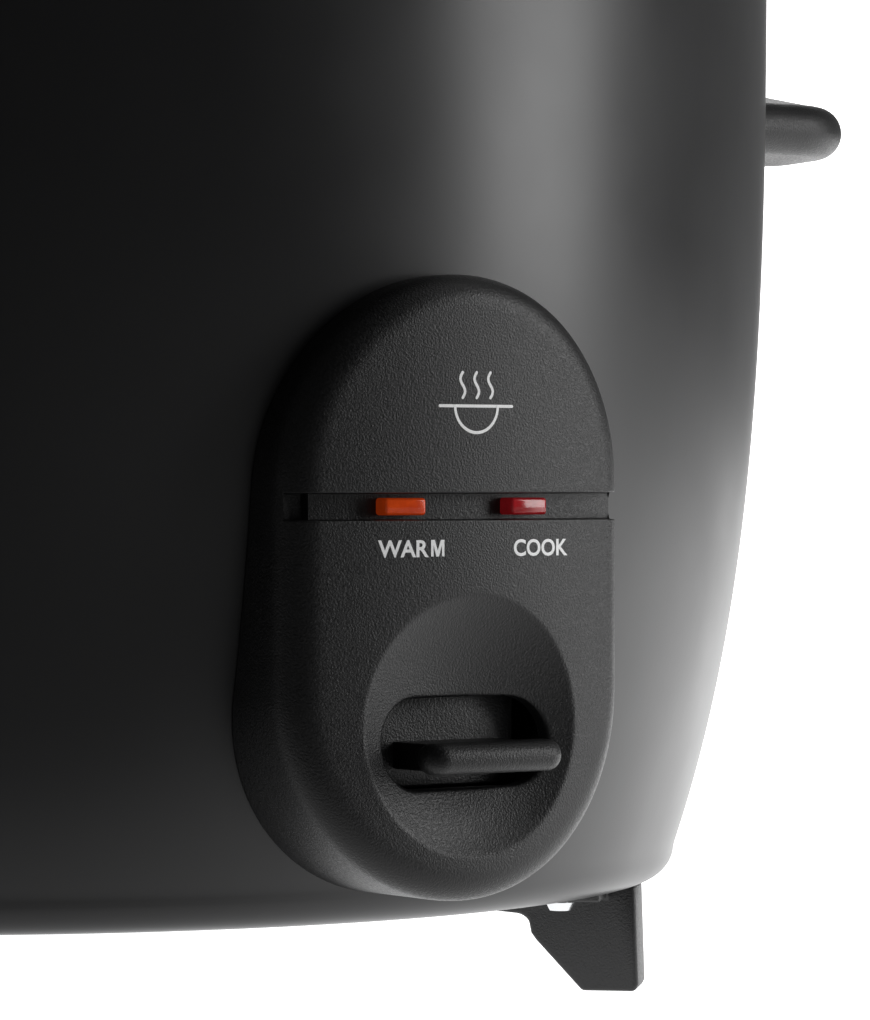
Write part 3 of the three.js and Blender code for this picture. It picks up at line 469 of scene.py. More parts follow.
def arc(cx, cy, radius, start, stop, steps):
    turns = [math.radians(start + (stop - start) * i / steps) for i in range(steps + 1)]
    return [(cx + radius * math.cos(t), cy + radius * math.sin(t)) for t in turns]


def rounded(wide, high, radius, cx=0.0, cy=0.0, steps=12):
    """Outline of a rectangle with round corners."""
    half_w, half_h = wide / 2 - radius, high / 2 - radius
    corners = ((half_w, half_h, 0), (-half_w, half_h, 90), (-half_w, -half_h, 180), (half_w, -half_h, 270))
    points = []
    for x, y, start in corners:
        for point in arc(cx + x, cy + y, radius, start, start + 90, steps):
            if not points or math.dist(points[-1], point) > 1e-6:
                points.append(point)
    if math.dist(points[0], points[-1]) < 1e-6:
        points.pop()
    return points


def stadium(half, high, cx, cy, spacing):
    """Upright or lying stadium outline with points about `spacing` apart."""
    wide = 2 * half
    radius = min(wide, high) / 2
    steps = max(6, round(radius * math.pi / 2 / spacing))
    centres = ((half - radius, high / 2 - radius, 0), (radius - half, high / 2 - radius, 90),
               (radius - half, radius - high / 2, 180), (half - radius, radius - high / 2, 270))
    corners = []
    for x, y, start in centres:
        corners += arc(cx + x, cy + y, radius, start, start + 90, steps)
    points = []
    for point, after in zip(corners, corners[1:] + corners[:1]):
        length = math.dist(point, after)
        if length < 1e-7:
            continue
        cuts = max(1, round(length / spacing))
        points += [(point[0] + (after[0] - point[0]) * i / cuts, point[1] + (after[1] - point[1]) * i / cuts)
                   for i in range(cuts)]
    return points


def outside_slot(x, z):
    """How far a point lies outside the slot's outline."""
    half = slot_wide / 2 - slot_high / 2
    return math.hypot(max(abs(x) - half, 0), z - slot_z) - slot_high / 2


def inside_panel(x, z, inset):
    half = panel_half - inset
    middle_z = min(max(z, panel_low.z + panel_half), panel_high.z - panel_half)
    return half - math.hypot(x, z - middle_z)


def smooth_max(a, b, blend):
    near = max(blend - abs(a - b), 0)
    return max(a, b) + near * near / (4 * blend)


def ball_at(x, z, grown_by):
    """Depth of the finger dish's surface behind the panel's crest."""
    squared = (dish_ball + grown_by) ** 2 - (x / dish_stretch) ** 2 - (z - dish_z) ** 2
    return dish_depth - dish_ball + math.sqrt(max(squared, 0))


def plain_face(x, z, inset):
    fillet = panel_fillet - (0.002 if inset else 0)
    edge_share = max(0.0, fillet - inside_panel(x, z, inset))
    sunk = fillet - math.sqrt(max(fillet * fillet - edge_share * edge_share, 0))
    return inset + sunk + face_radius - inset - math.sqrt((face_radius - inset) ** 2 - x * x)


def panel_depth(x, z, inset=0.0):
    """How far the panel's front (or, with an inset, its inside) lies behind its crest."""
    face = plain_face(x, z, inset)
    depth = smooth_max(face, ball_at(x, z, max(inset - 0.0002, 0)), crest)
    in_groove = min(groove_half + inset - abs(z - groove_z), x + groove_left + inset)
    floor = face_radius - math.sqrt((face_radius - groove_depth - (0.002 if inset else 0)) ** 2 - x * x)
    if in_groove > -crest and depth < floor:
        depth = min(smooth_max(depth, depth + in_groove * groove_draft, crest), floor)
    if not inset:
        rounded_in = max(0.0, slot_edge - max(outside_slot(x, z), 0))
        depth += slot_edge - math.sqrt(slot_edge ** 2 - rounded_in ** 2)
    return depth


def dish_rim(steps, inset):
    """The line where the dish leaves the face, found by halving along each direction."""
    rim = []
    for i in range(steps):
        turn = 2 * math.pi * i / steps
        near, far = 0.0, 1.3 * dish_half
        for _ in range(30):
            reach = (near + far) / 2
            x, z = dish_stretch * reach * math.cos(turn), dish_z + reach * math.sin(turn)
            if ball_at(x, z, max(inset - 0.0002, 0)) > plain_face(x, z, inset):
                near = reach
            else:
                far = reach
        rim.append((turn, near))
    return rim


def panel_sheet(inset, spacing):
    """The panel's front as a mesh in place: feature lines first, then an even filling of points."""
    points, edges = [], []

    def line(run, closed=True):
        first = len(points)
        points.extend(Vector(p) for p in run)
        count = len(run)
        edges.extend((first + i, first + (i + 1) % count) for i in range(count if closed else count - 1))

    fillet = panel_fillet - (0.002 if inset else 0)
    middle_z = (panel_low.z + panel_high.z) / 2
    high = panel_high.z - panel_low.z
    bend_steps = 9 if not inset else 3
    lines = []
    for i in range(bend_steps + 1):
        drawn = inset + fillet * (1 - math.cos(math.pi / 2 * i / bend_steps))
        lines.append(stadium(panel_half - drawn, high - 2 * drawn, 0, middle_z, spacing))
    rim = dish_rim(144 if not inset else 48, inset)
    steps_off = (-1.2e-3, -5e-4, -2.4e-4, -8e-5, 8e-5, 2.4e-4, 5e-4, 1.2e-3) if not inset else (0.0,)
    for off in steps_off:
        lines.append([(dish_stretch * (reach + off) * math.cos(turn), dish_z + (reach + off) * math.sin(turn))
                      for turn, reach in rim])
    slot_steps = (0.0, 4e-5, 1.5e-4, 3e-4, 5e-4, 9e-4) if not inset else (0.0,)
    for off in slot_steps:
        lines.append(stadium(slot_wide / 2 + off, slot_high + 2 * off, 0, slot_z, 0.0006))
    for run in lines:
        line(run)
    wall_reach = groove_depth / groove_draft
    for off in ((-2.2e-4, -1e-4, 0.0, wall_reach / 2, wall_reach) if not inset else (0.0, wall_reach)):
        left = -groove_left - inset + off
        top = groove_z + groove_half + inset - off
        low = groove_z - groove_half - inset + off
        right_end = panel_half - inset - 2e-4
        count = max(4, round((right_end - left) / spacing))
        run = [(left + (right_end - left) * i / count, top) for i in range(count, -1, -1)]
        run += [(left, top + (low - top) * i / 4) for i in range(1, 4)]
        run += [(left + (right_end - left) * i / count, low) for i in range(count + 1)]
        line([p for p in run if inside_panel(*p, inset) > 1e-4], closed=False)
    taken = {}
    cell = spacing
    for p in points:
        taken.setdefault((round(p.x / cell), round(p.y / cell)), []).append(p)
    columns = round(2 * panel_half / spacing)
    rows = round(high / spacing)
    for i in range(columns):
        for j in range(rows):
            x = -panel_half + spacing * (i + 0.5 * (j % 2))
            z = panel_low.z + spacing * (j + 0.5)
            if inside_panel(x, z, inset) < fillet or outside_slot(x, z) < 0.4 * spacing:
                continue
            column, row = round(x / cell), round(z / cell)
            near = [p for a in (-1, 0, 1) for b in (-1, 0, 1) for p in taken.get((column + a, row + b), [])]
            if all((p.x - x) ** 2 + (p.y - z) ** 2 > (0.55 * spacing) ** 2 for p in near):
                points.append(Vector((x, z)))
    flat, _, triangles, _, _, _ = delaunay_2d_cdt(points, edges, [], 0, 1e-7)
    work = bmesh.new()
    corners = [work.verts.new((p.x, axis_y - face_radius + panel_depth(p.x, p.y, inset), p.y)) for p in flat]
    for face in triangles:
        middle_x = sum(flat[i].x for i in face) / len(face)
        mid_z = sum(flat[i].y for i in face) / len(face)
        if outside_slot(middle_x, mid_z) > -1e-6 and inside_panel(middle_x, mid_z, inset) > -1e-6:
            work.faces.new([corners[i] for i in face])
    bmesh.ops.delete(work, geom=[v for v in work.verts if not v.link_faces], context="VERTS")
    return work


def rims(work):
    """The open edges of a panel sheet: round its outside, and round its slot."""
    open_edges = [e for e in work.edges if e.is_boundary]
    near_slot = [e for e in open_edges if outside_slot(e.verts[0].co.x, e.verts[0].co.z) < 1e-4]
    return [e for e in open_edges if e not in set(near_slot)], near_slot


def pulled_back(work, edges, place):
    """Extrudes open edges and puts each new corner at place(x, z, y). Gives the new open edges."""
    made = bmesh.ops.extrude_edge_only(work, edges=edges)["geom"]
    for corner in (g for g in made if isinstance(g, bmesh.types.BMVert)):
        corner.co.y = place(corner.co.x, corner.co.z, corner.co.y)
    return [g for g in made if isinstance(g, bmesh.types.BMEdge)]


def drum_front(x, z, y):
    return axis_y - math.sqrt((drum_skin(z) + surface_gap) ** 2 - x * x)


def made_panel():
    front = panel_sheet(0.0, 0.0011)
    outer, slot = rims(front)
    for share in (0.25, 0.5, 0.75, 1.0):
        outer = pulled_back(front, outer, lambda x, z, y, s=share: y + (drum_front(x, z, y) - y) * s)
    pulled_back(front, slot, lambda x, z, y: axis_y - face_radius + panel_depth(x, z, panel_wall))
    front_mesh = bpy.data.meshes.new("control_panel_front")
    front.to_mesh(front_mesh)
    front.free()
    back = panel_sheet(panel_wall, 0.003)
    outer, _ = rims(back)
    pulled_back(back, outer, drum_front)
    bmesh.ops.reverse_faces(back, faces=back.faces)
    back.from_mesh(front_mesh)
    bmesh.ops.remove_doubles(back, verts=back.verts, dist=2e-5)
    return back


panel_work = made_panel()
bmesh.ops.bridge_loops(panel_work, edges=[e for e in panel_work.edges if e.is_boundary])
bmesh.ops.recalc_face_normals(panel_work, faces=panel_work.faces)
panel_mesh = bpy.data.meshes.new("control_panel_moulding")
panel_work.to_mesh(panel_mesh)
panel_work.free()
fit_piece("panel_moulding", panel_mesh, black_plastic, "housing",
          ["control_panel"], sharp=50)

# Printed marks on the panel: the two lamp names and a small steaming-bowl sign in white ink, a few
# hundredths of a millimetre thick, following the curve of the face.
white_ink = new_material("white_ink", Roughness=0.5)
tint(white_ink, noise_on(white_ink, 4000, 1), (0.88, 0.88, 0.88), (0.96, 0.96, 0.96))
ink_proud = 0.00004
label_height = 0.0023
label_z = 0.0699
label_wide = 1.04
label_shift = 0.00043
label_spread = 0.00103
letter_gap = 0.16
label_weight = 0.022
sign_line = 0.00042
sign_wide = 0.0125
sign_z = 0.0868
sign_tall = 0.0088


def printed(name, mesh):
    """Lays a flat print (drawn in X and Y) on the panel's face and gives it its thickness."""
    work = bmesh.new()
    work.from_mesh(mesh)
    bmesh.ops.triangulate(work, faces=work.faces)
    bmesh.ops.subdivide_edges(work, edges=[e for e in work.edges if e.calc_length() > 0.0012], cuts=1)
    bmesh.ops.triangulate(work, faces=work.faces)
    bmesh.ops.remove_doubles(work, verts=work.verts, dist=1e-7)
    face_of = bmesh.ops.extrude_face_region(work, geom=list(work.faces))["geom"]
    front = {g for g in face_of if isinstance(g, bmesh.types.BMVert)}
    for corner in work.verts:
        x, z = corner.co.x, corner.co.y
        out = ink_proud if corner in front else -ink_proud / 2
        corner.co = Vector((x, axis_y - face_radius + panel_depth(x, z) - out, z))
    bmesh.ops.recalc_face_normals(work, faces=work.faces)
    work.to_mesh(mesh)
    work.free()
    return fit_piece(name, mesh, white_ink, "housing")


def letters(word):
    """Bold capitals one unit high, standing on y = 0 from x = 0, as a flat mesh."""
    text = bpy.data.curves.new(word, "FONT")
    text.body = word
    text.offset = label_weight
    text.resolution_u = 4
    mesh = settle(new_object(word, text))
    tall = max(v.co.y for v in mesh.vertices)
    start = min(v.co.x for v in mesh.vertices)
    mesh.transform(Matrix.Diagonal((1 / tall, 1 / tall, 1, 1)) @ Matrix.Translation((-start, 0, 0)))
    return mesh


def letter_m(x):
    """A bold M from its left half, mirrored."""
    wide, stem, shoulder, valley, rise, foot = 0.92, 0.17, 0.25, 0.36, 0.7, 0.09
    left = [(wide / 2 - foot, 0), (stem, rise), (stem, 0), (0, 0), (0, 1), (shoulder, 1)]
    ring = left + [(wide / 2, valley)] + [(wide - a, b) for a, b in reversed(left)]
    return mesh_of("letter_m", [(x + a, b, 0) for a, b in ring], [tuple(range(len(ring)))])


def lettering(word, x, z, height):
    """A label centred on x; the M at its end is drawn apart from the other letters."""
    work = bmesh.new()
    work.from_mesh(letters(word.removesuffix("M")))
    if word.endswith("M"):
        work.from_mesh(letter_m(max(v.co.x for v in work.verts) + letter_gap))
    mesh = bpy.data.meshes.new(word)
    middle_x = max(v.co.x for v in work.verts) / 2
    bmesh.ops.transform(work, verts=work.verts, matrix=Matrix.Translation((x, z, 0))
                        @ Matrix.Diagonal((height * label_wide, height, 1, 1))
                        @ Matrix.Translation((-middle_x, 0, 0)))
    work.to_mesh(mesh)
    work.free()
    return mesh


for word, node, side in (("WARM", "lens_warm", -1), ("COOK", "lens_cook", 1)):
    low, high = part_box(node)
    x = (low.x + high.x) / 2 + label_shift + side * label_spread
    printed("print_" + word.lower(), lettering(word, x, label_z, label_height))


def ribbon(route, width):
    """A flat line of even width with round ends along a route in X and Y."""
    left, right = [], []
    for i, point in enumerate(route):
        before, after = route[max(i - 1, 0)], route[min(i + 1, len(route) - 1)]
        way = (Vector(after) - Vector(before)).normalized()
        aside = Vector((-way.y, way.x)) * width / 2
        left.append(Vector(point) + aside)
        right.append(Vector(point) - aside)

    def cap(end, inner):
        way = (Vector(end) - Vector(inner)).normalized()
        start = math.degrees(math.atan2(way.y, way.x))
        return [Vector(p) for p in arc(end[0], end[1], width / 2, start - 60, start + 60, 4)]

    return right + cap(route[-1], route[-2]) + left[::-1] + cap(route[0], route[1])


bowl_half = sign_wide / 2
bowl = [(-bowl_half, 0.45 * sign_tall), (bowl_half, 0.45 * sign_tall)]
bowl_round = arc(0, 0.45 * sign_tall, 0.42 * sign_tall, 180, 360, 24)
steam = [[(x + 0.0004 * math.sin(2 * math.pi * i / 12), sign_tall * (0.58 + 0.4 * i / 12)) for i in range(13)]
         for x in (-0.0024, 0.0, 0.0024)]
for number, route in enumerate([bowl, bowl_round, *steam]):
    ring = [(p.x, p.y + sign_z, 0) for p in ribbon(route, sign_line)]
    mesh = mesh_of(f"sign_{number}", ring, [tuple(range(len(ring)))])
    printed(f"print_sign_{number}", mesh)

# ---------------------------------------------------------------- lamp lenses
# Two clear coloured mouldings, orange-red for warm and deep red for cook, pushed through the floor of
# the groove from behind. Clear plastic neon tubes lie across their backs.


def lofted(name, rings):
    """Closed skin through rings of equal point counts, its two ends filled."""
    count = len(rings[0])
    points = [p for ring in rings for p in ring]
    faces = [tuple(range(count))[::-1], tuple(range(len(points) - count, len(points)))]
    for i in range(len(rings) - 1):
        for j in range(count):
            after = (j + 1) % count
            faces.append((i * count + j, i * count + after, (i + 1) * count + after, (i + 1) * count + j))
    mesh = mesh_of(name, points, faces)
    outward(mesh)
    return mesh


def softened(node, width, segments=2, sharp=28):
    """A copy of a CAD node, its facets merged and its edges rounded."""
    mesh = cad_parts[node].data.copy()
    mesh.materials.clear()
    work = bmesh.new()
    work.from_mesh(mesh)
    bmesh.ops.remove_doubles(work, verts=work.verts, dist=2e-6)
    bmesh.ops.dissolve_limit(work, angle_limit=math.radians(3), verts=work.verts, edges=work.edges)
    work.to_mesh(mesh)
    work.free()
    holder = new_object(node + "_soft", mesh)
    bevel = holder.modifiers.new("round", "BEVEL")
    bevel.width = width
    bevel.segments = segments
    bevel.limit_method = "ANGLE"
    bevel.angle_limit = math.radians(sharp)
    bevel.use_clamp_overlap = True
    return settle(holder)


def lens_plastic_painted_glow(name, deep, bright):
    plastic = new_material(name, Roughness=0.12, IOR=1.49)
    tree = plastic.node_tree
    shader = tree.nodes["Principled BSDF"]
    shader.inputs["Transmission Weight"].default_value = 0.25
    # Weak emission in the lens's own colour: a painted glow, since the neon tubes behind the lenses are not
    # lit.
    shader.inputs["Emission Color"].default_value = (*bright, 1)
    shader.inputs["Emission Strength"].default_value = 0.12
    tint(plastic, noise_on(plastic, 500, 2), deep, bright)
    relief(plastic, noise_on(plastic, 700, 1), 0.00002, 0.3)
    return plastic


amber_plastic = lens_plastic_painted_glow("amber_plastic", (0.62, 0.045, 0.004), (0.85, 0.085, 0.008))
red_plastic = lens_plastic_painted_glow("red_plastic", (0.30, 0.006, 0.009), (0.48, 0.016, 0.022))
for name, plastic, slot in (("warm", amber_plastic, "amber_lens"), ("cook", red_plastic, "red_lens")):
    fit_piece("jewel_" + name, softened("lens_" + name, 0.00045, 3), plastic, "housing",
              ["lens_" + name])

lamp_glass = new_material("lamp_glass", Roughness=0.05, IOR=1.5)
lamp_glass.node_tree.nodes["Principled BSDF"].inputs["Transmission Weight"].default_value = 0.9
tint(lamp_glass, noise_on(lamp_glass, 300), (0.8, 0.82, 0.82), (0.9, 0.92, 0.92))


def finish_node(node, material):
    """A CAD piece whose shape is right keeps its mesh and takes a finish."""
    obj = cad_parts[node]
    obj.data.materials.clear()
    obj.data.materials.append(material)


for node in ("lamp_warm", "lamp_cook"):
    finish_node(node, lamp_glass)

# ---------------------------------------------------------------- cook lever
# A rounded black bar on a flat neck, with a shield behind it that shuts the slot, moulded in one and
# pressed on the steel arm. The arm turns on a pin in a folded bracket under the liner.

bar_front = axis_y - face_radius - 0.0061
bar_deep = 0.006
bar_thick = 0.0044
bar_half = slot_wide / 2 - 0.0027
bar_z = slot_z - 0.0017
bar_round = 0.0021
bar_corner = 0.003
shield_y = axis_y - face_radius + 0.0078
rings = []
for cos, sin in arc(0, 0, 1, -90, 90, 14):
    drawn = bar_round * (1 - cos)
    level = bar_z + (bar_thick / 2 - bar_round) * (1 if sin > 0 else -1 if sin < 0 else 0) + bar_round * sin
    plan = rounded(2 * (bar_half - drawn), bar_deep - 2 * drawn, bar_corner - drawn,
                   0, bar_front + bar_deep / 2, 8)
    rings.append([(x, y, level) for x, y in plan])
bar_mesh = lofted("cook_lever_bar", rings)


def boxed(x0, x1, y0, y1, z0, z1, round_by=0.0004):
    """A block with rounded edges."""
    holder = new_object("block", block((x0, y0, z0), (x1, y1, z1)))
    bevel = holder.modifiers.new("round", "BEVEL")
    bevel.width = round_by
    bevel.segments = 3
    return settle(holder)


def united(name, meshes):
    """One mesh out of several that meet."""
    holder = new_object(name, meshes[0])
    others = [new_object("part", mesh) for mesh in meshes[1:]]
    for other in others:
        modifier = holder.modifiers.new("join", "BOOLEAN")
        modifier.operation = "UNION"
        modifier.object = other
        modifier.solver = "EXACT"
    result = settle(holder)
    for other in others:
        bpy.data.objects.remove(other)
    return result


stem_back = knob_high.y
lever_parts = [
    bar_mesh,
    boxed(-bar_half + 0.003, bar_half - 0.003, bar_front + 0.002, shield_y + 0.001,
          bar_z - 0.0019, bar_z + 0.0019),
    boxed(-bar_half - 0.0005, bar_half + 0.0005, shield_y, shield_y + 0.0018,
          bar_z - 0.0045, bar_z + 0.01, 0.0003),
    boxed(-0.0075, 0.0075, shield_y + 0.001, stem_back, bar_z - 0.0026, bar_z + 0.0026),
]
fit_piece("lever_bar", united("cook_lever_bar", lever_parts), black_plastic, "lever",
          ["lever_knob"], sharp=40)

# Sheet-steel arm, folded bracket and turned pin, zinc-plated and bright. The arm's barrel turns on
# the pin, and the bracket hangs under the liner's floor.


def metal(name, dark, light, rough, grain=220.0, stretch=(1, 1, 1)):
    """A metal with a faint uneven tone and a grained roughness."""
    made = new_material(name, Metallic=1.0)
    tint(made, noise_on(made, grain / 6, 3), dark, light)
    spread(made, noise_on(made, grain, 3, stretch), rough * 0.8, rough * 1.25, "Roughness")
    relief(made, noise_on(made, 4 * grain, 2, stretch), 0.00001, 0.35)
    return made


bright_steel = metal("bright_steel", (0.5, 0.51, 0.52), (0.62, 0.63, 0.64), 0.22)
zinc_steel = metal("zinc_steel", (0.42, 0.44, 0.46), (0.56, 0.58, 0.59), 0.42)


def soft_copy(node, material, body, width=0.0003, segments=2, suffix="_formed"):
    """Replaces a CAD piece by its copy with rounded edges."""
    return fit_piece(node + suffix, softened(node, width, segments), material, body, [node], sharp=40)


soft_copy("lever_bracket", zinc_steel, "housing", 0.00025)
for node in ("lever_arm", "lever_pin"):
    finish_node(node, bright_steel)
soft_copy("microswitch", black_plastic, "housing", 0.0004)
finish_node("switch_plunger", black_plastic)

# ---------------------------------------------------------------- feet
# Four black legs with a mounting flange, their edges rounded as moulded, each screwed to the base
# plate from below.

foot_names = ("front_right", "back_right", "back_left", "front_left")
for place in foot_names:
    soft_copy("foot_" + place, black_plastic, "housing", 0.0007, 3, "_moulding")

# ---------------------------------------------------------------- screws
# Pan-head steel screws with a cross recess, all from one tree. A start mesh holds one corner for each
# screw, at the underside of its head.

screw_tree, screw_in, screw_out = growing_tree("pan_head_screw", {
    "Head Radius": "Float", "Head Height": "Float", "Shank Radius": "Float", "Length": "Float",
    "Turn": "Vector", "Material": "Material"})


def scaled_by(value, factor):
    return sums(screw_tree, "MULTIPLY", value, factor)


def along_z(shape, distance):
    """The shape moved along the screw."""
    offset = screw_tree.nodes.new("ShaderNodeCombineXYZ")
    moved = screw_tree.nodes.new("GeometryNodeTransform")
    screw_tree.links.new(distance, offset.inputs["Z"])
    screw_tree.links.new(offset.outputs["Vector"], moved.inputs["Translation"])
    screw_tree.links.new(shape, moved.inputs["Geometry"])
    return moved.outputs["Geometry"]


def cross_arm(across, along, deep):
    size = screw_tree.nodes.new("ShaderNodeCombineXYZ")
    arm = screw_tree.nodes.new("GeometryNodeMeshCube")
    for axis_name, value in zip("XYZ", (across, along, deep)):
        screw_tree.links.new(value, size.inputs[axis_name])
    screw_tree.links.new(size.outputs["Vector"], arm.inputs["Size"])
    return arm.outputs["Mesh"]


def combined(operation, base, others):
    """A boolean in the tree: the base joined with the others, or less them."""
    node = screw_tree.nodes.new("GeometryNodeMeshBoolean")
    node.operation = operation
    node.solver = "EXACT"
    if base is not None:
        screw_tree.links.new(base, node.inputs["Mesh 1"])
    for other in others:
        screw_tree.links.new(other, node.inputs["Mesh 2"])
    return node.outputs["Mesh"]


head_radius, head_height = screw_in.outputs["Head Radius"], screw_in.outputs["Head Height"]
head = screw_tree.nodes.new("GeometryNodeMeshCone")
head.inputs["Vertices"].default_value = 32
screw_tree.links.new(scaled_by(head_radius, 0.72), head.inputs["Radius Bottom"])
screw_tree.links.new(head_radius, head.inputs["Radius Top"])
screw_tree.links.new(head_height, head.inputs["Depth"])
head_shape = along_z(head.outputs["Mesh"], scaled_by(head_height, -1))
shank = screw_tree.nodes.new("GeometryNodeMeshCylinder")
shank.inputs["Vertices"].default_value = 24
shank_length = sums(screw_tree, "ADD", screw_in.outputs["Length"], scaled_by(head_height, 0.2))
screw_tree.links.new(screw_in.outputs["Shank Radius"], shank.inputs["Radius"])
screw_tree.links.new(shank_length, shank.inputs["Depth"])
shank_middle = sums(screw_tree, "SUBTRACT", scaled_by(shank_length, 0.5), scaled_by(head_height, 0.2))
shank_shape = along_z(shank.outputs["Mesh"], shank_middle)
whole = combined("UNION", None, [head_shape, shank_shape])
arm_wide, arm_long = scaled_by(head_radius, 0.24), scaled_by(head_radius, 1.1)
arms = [along_z(cross_arm(across, along, head_height), scaled_by(head_height, -1.05))
        for across, along in ((arm_wide, arm_long), (arm_long, arm_wide))]
whole = combined("DIFFERENCE", whole, [combined("UNION", None, arms)])
copies = screw_tree.nodes.new("GeometryNodeInstanceOnPoints")
screw_tree.links.new(screw_in.outputs["Geometry"], copies.inputs["Points"])
screw_tree.links.new(whole, copies.inputs["Instance"])
screw_tree.links.new(screw_in.outputs["Turn"], copies.inputs["Rotation"])
closing(screw_tree, screw_in, screw_out, copies.outputs["Instances"])

half_turn = math.pi / 2
facings = {"up": (Vector((0, 0, 1)), (0, 0, 0)), "forward": (Vector((0, -1, 0)), (half_turn, 0, 0)),
           "right": (Vector((1, 0, 0)), (0, half_turn, 0)), "left": (Vector((-1, 0, 0)), (0, -half_turn, 0))}


def screws(name, nodes, facing, head_high, shank, body="housing"):
    """One piece for a family of like screws, each in its CAD screw's place."""
    way, turn = facings[facing]
    places = []
    for node in nodes:
        low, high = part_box(node)
        size = high - low
        long = abs(size.dot(way))
        end = (low + high) / 2 - way * long / 2
        places.append(end + way * head_high)
    radius = sorted(size)[1] / 2 if facing != "up" else size.x / 2
    mesh = grown(name, screw_tree, {
        "Head Radius": radius, "Head Height": head_high, "Shank Radius": shank,
        "Length": long - head_high, "Turn": Vector(turn), "Material": bright_steel,
    }, mesh_of(name + "_places", places, []))
    outward(mesh)
    return fit_piece(name, mesh, bright_steel, body, nodes, sharp=40)


screws("foot_screws", ["foot_screw_" + place for place in foot_names], "up", 0.0013, 0.0015)
screws("panel_screw_lower", ["panel_screw_low"], "forward", 0.0022, 0.0015)
screws("panel_screw_upper", ["panel_screw_high"], "forward", 0.0022, 0.0015)
screws("inlet_screws", ["inlet_screw_1", "inlet_screw_2"], "forward", 0.0022, 0.0015)
screws("plate_screws", ["plate_screw_1", "plate_screw_2", "plate_screw_3"], "up", 0.0022, 0.0022)
for side in ("right", "left"):
    screws(f"handle_screws_{side}", [f"handle_screw_{side}_{i}" for i in (1, 2)], side, 0.0022, 0.0015)
screws("lid_knob_screw", ["lid_screw"], "up", 0.0022, 0.002, "lid")

# ---------------------------------------------------------------- side handles
# Two black grips, full at the root and thinner towards a rounded edge, cored from below for the
# fingers and screwed through the drum's wall.

handle_low, handle_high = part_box("handle_right")
handle_reach = handle_high.x - drum_radius
handle_wide = handle_high.y - handle_low.y
handle_z = (handle_low.z + handle_high.z) / 2
handle_root = 0.0195
handle_tip = 0.009
handle_corner = 0.017
handle_overlap = 0.01
finger_edge = 0.011
finger_start = 0.0075
finger_short = 0.012


def turned_round(mesh, angle):
    """The mesh turned about the drum's axis."""
    mesh.transform(Matrix.Translation(axis) @ Matrix.Rotation(angle, 4, "Z") @ Matrix.Translation(-axis))
    return mesh


def drum_cutter():
    rings = []
    for i in range(13):
        z = handle_z - 0.024 + 0.004 * i
        rings.append([(x, y, z) for x, y in arc(0, axis_y, drum_skin(z) + surface_gap, 0, 358.5, 239)])
    return lofted("drum_cutter", rings)


def grip(angle):
    half = handle_tip / 2
    flat = handle_reach - half
    slope = (handle_root - handle_tip) / 2 / flat
    back = drum_radius - handle_overlap

    def ring(inset, rise):
        outline = rounded(2 * (handle_reach + handle_overlap - inset), handle_wide - 2 * inset,
                          max(handle_corner - inset, 0.001), back, axis_y, 14)
        return [(x, y, handle_z + rise) for x, y in outline]

    levels = [ring(half + flat * share, -half - slope * flat * share) for share in (1.0, 0.66, 0.33)]
    levels += [ring(half * (1 - cos), half * sin) for cos, sin in arc(0, 0, 1, -90, 90, 20)]
    levels += [ring(half + flat * share, half + slope * flat * share) for share in (0.33, 0.66, 1.0)]
    pocket_long = handle_reach - finger_short
    pocket = [[(x, y, z) for x, y in rounded(pocket_long, handle_wide - 2 * finger_edge, 0.006,
                                             drum_radius + pocket_long / 2 + finger_start, axis_y, 10)]
              for z in (handle_z - 0.03, handle_z)]
    mesh = cut_away(lofted("grip", levels), [lofted("pocket", pocket), drum_cutter()])
    outward(mesh)
    return turned_round(mesh, angle)


for side, angle in (("right", 0.0), ("left", math.pi)):
    fit_piece(f"grip_{side}", grip(angle), black_plastic, "housing", [f"handle_{side}"], 40)

# ---------------------------------------------------------------- power inlet
# Black socket with a flange at the back of the drum, two screws, and three brass pins in it.

brass = metal("brass", (0.6, 0.42, 0.16), (0.74, 0.54, 0.24), 0.3)
soft_copy("power_inlet", black_plastic, "housing", 0.0005, 3, "_moulding")
for pin in ("line", "neutral", "earth"):
    soft_copy(f"inlet_pin_{pin}", brass, "housing", 0.0004, 3, "_drawn")

# ---------------------------------------------------------------- base plate
# Punched zinc-plated disc that closes the drum below, with eight air slots.
finish_node("base_plate", zinc_steel)

# ---------------------------------------------------------------- liner
# Thin aluminium bowl that hangs by its rim on the drum, satin from rolling, under the cooking pot.


def section(node, azimuth):
    """The outline of a turned CAD piece: [radius, height] in order along one half-plane."""
    work = bmesh.new()
    work.from_mesh(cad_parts[node].data)
    bmesh.ops.remove_doubles(work, verts=work.verts, dist=2e-6)
    turn = math.radians(azimuth)
    way = Vector((math.cos(turn), math.sin(turn), 0))
    across = Vector((-math.sin(turn), math.cos(turn), 0))
    bmesh.ops.bisect_plane(work, geom=[*work.verts, *work.edges, *work.faces], plane_co=axis, plane_no=across,
                           clear_inner=True, clear_outer=True)
    bmesh.ops.bisect_plane(work, geom=[*work.verts, *work.edges, *work.faces], plane_co=axis, plane_no=way,
                           clear_inner=True)
    bmesh.ops.remove_doubles(work, verts=work.verts, dist=1e-5)
    start = min(work.verts, key=lambda v: (len(v.link_edges), v.co.z))
    route, last = [start], None
    while True:
        step = next((e for e in route[-1].link_edges if e is not last), None)
        if step is None or (len(route) > 1 and step.other_vert(route[-1]) is start):
            break
        last = step
        route.append(step.other_vert(route[-1]))
    outline = [Vector(((v.co - axis).dot(way), v.co.z)) for v in route]
    work.free()
    return outline


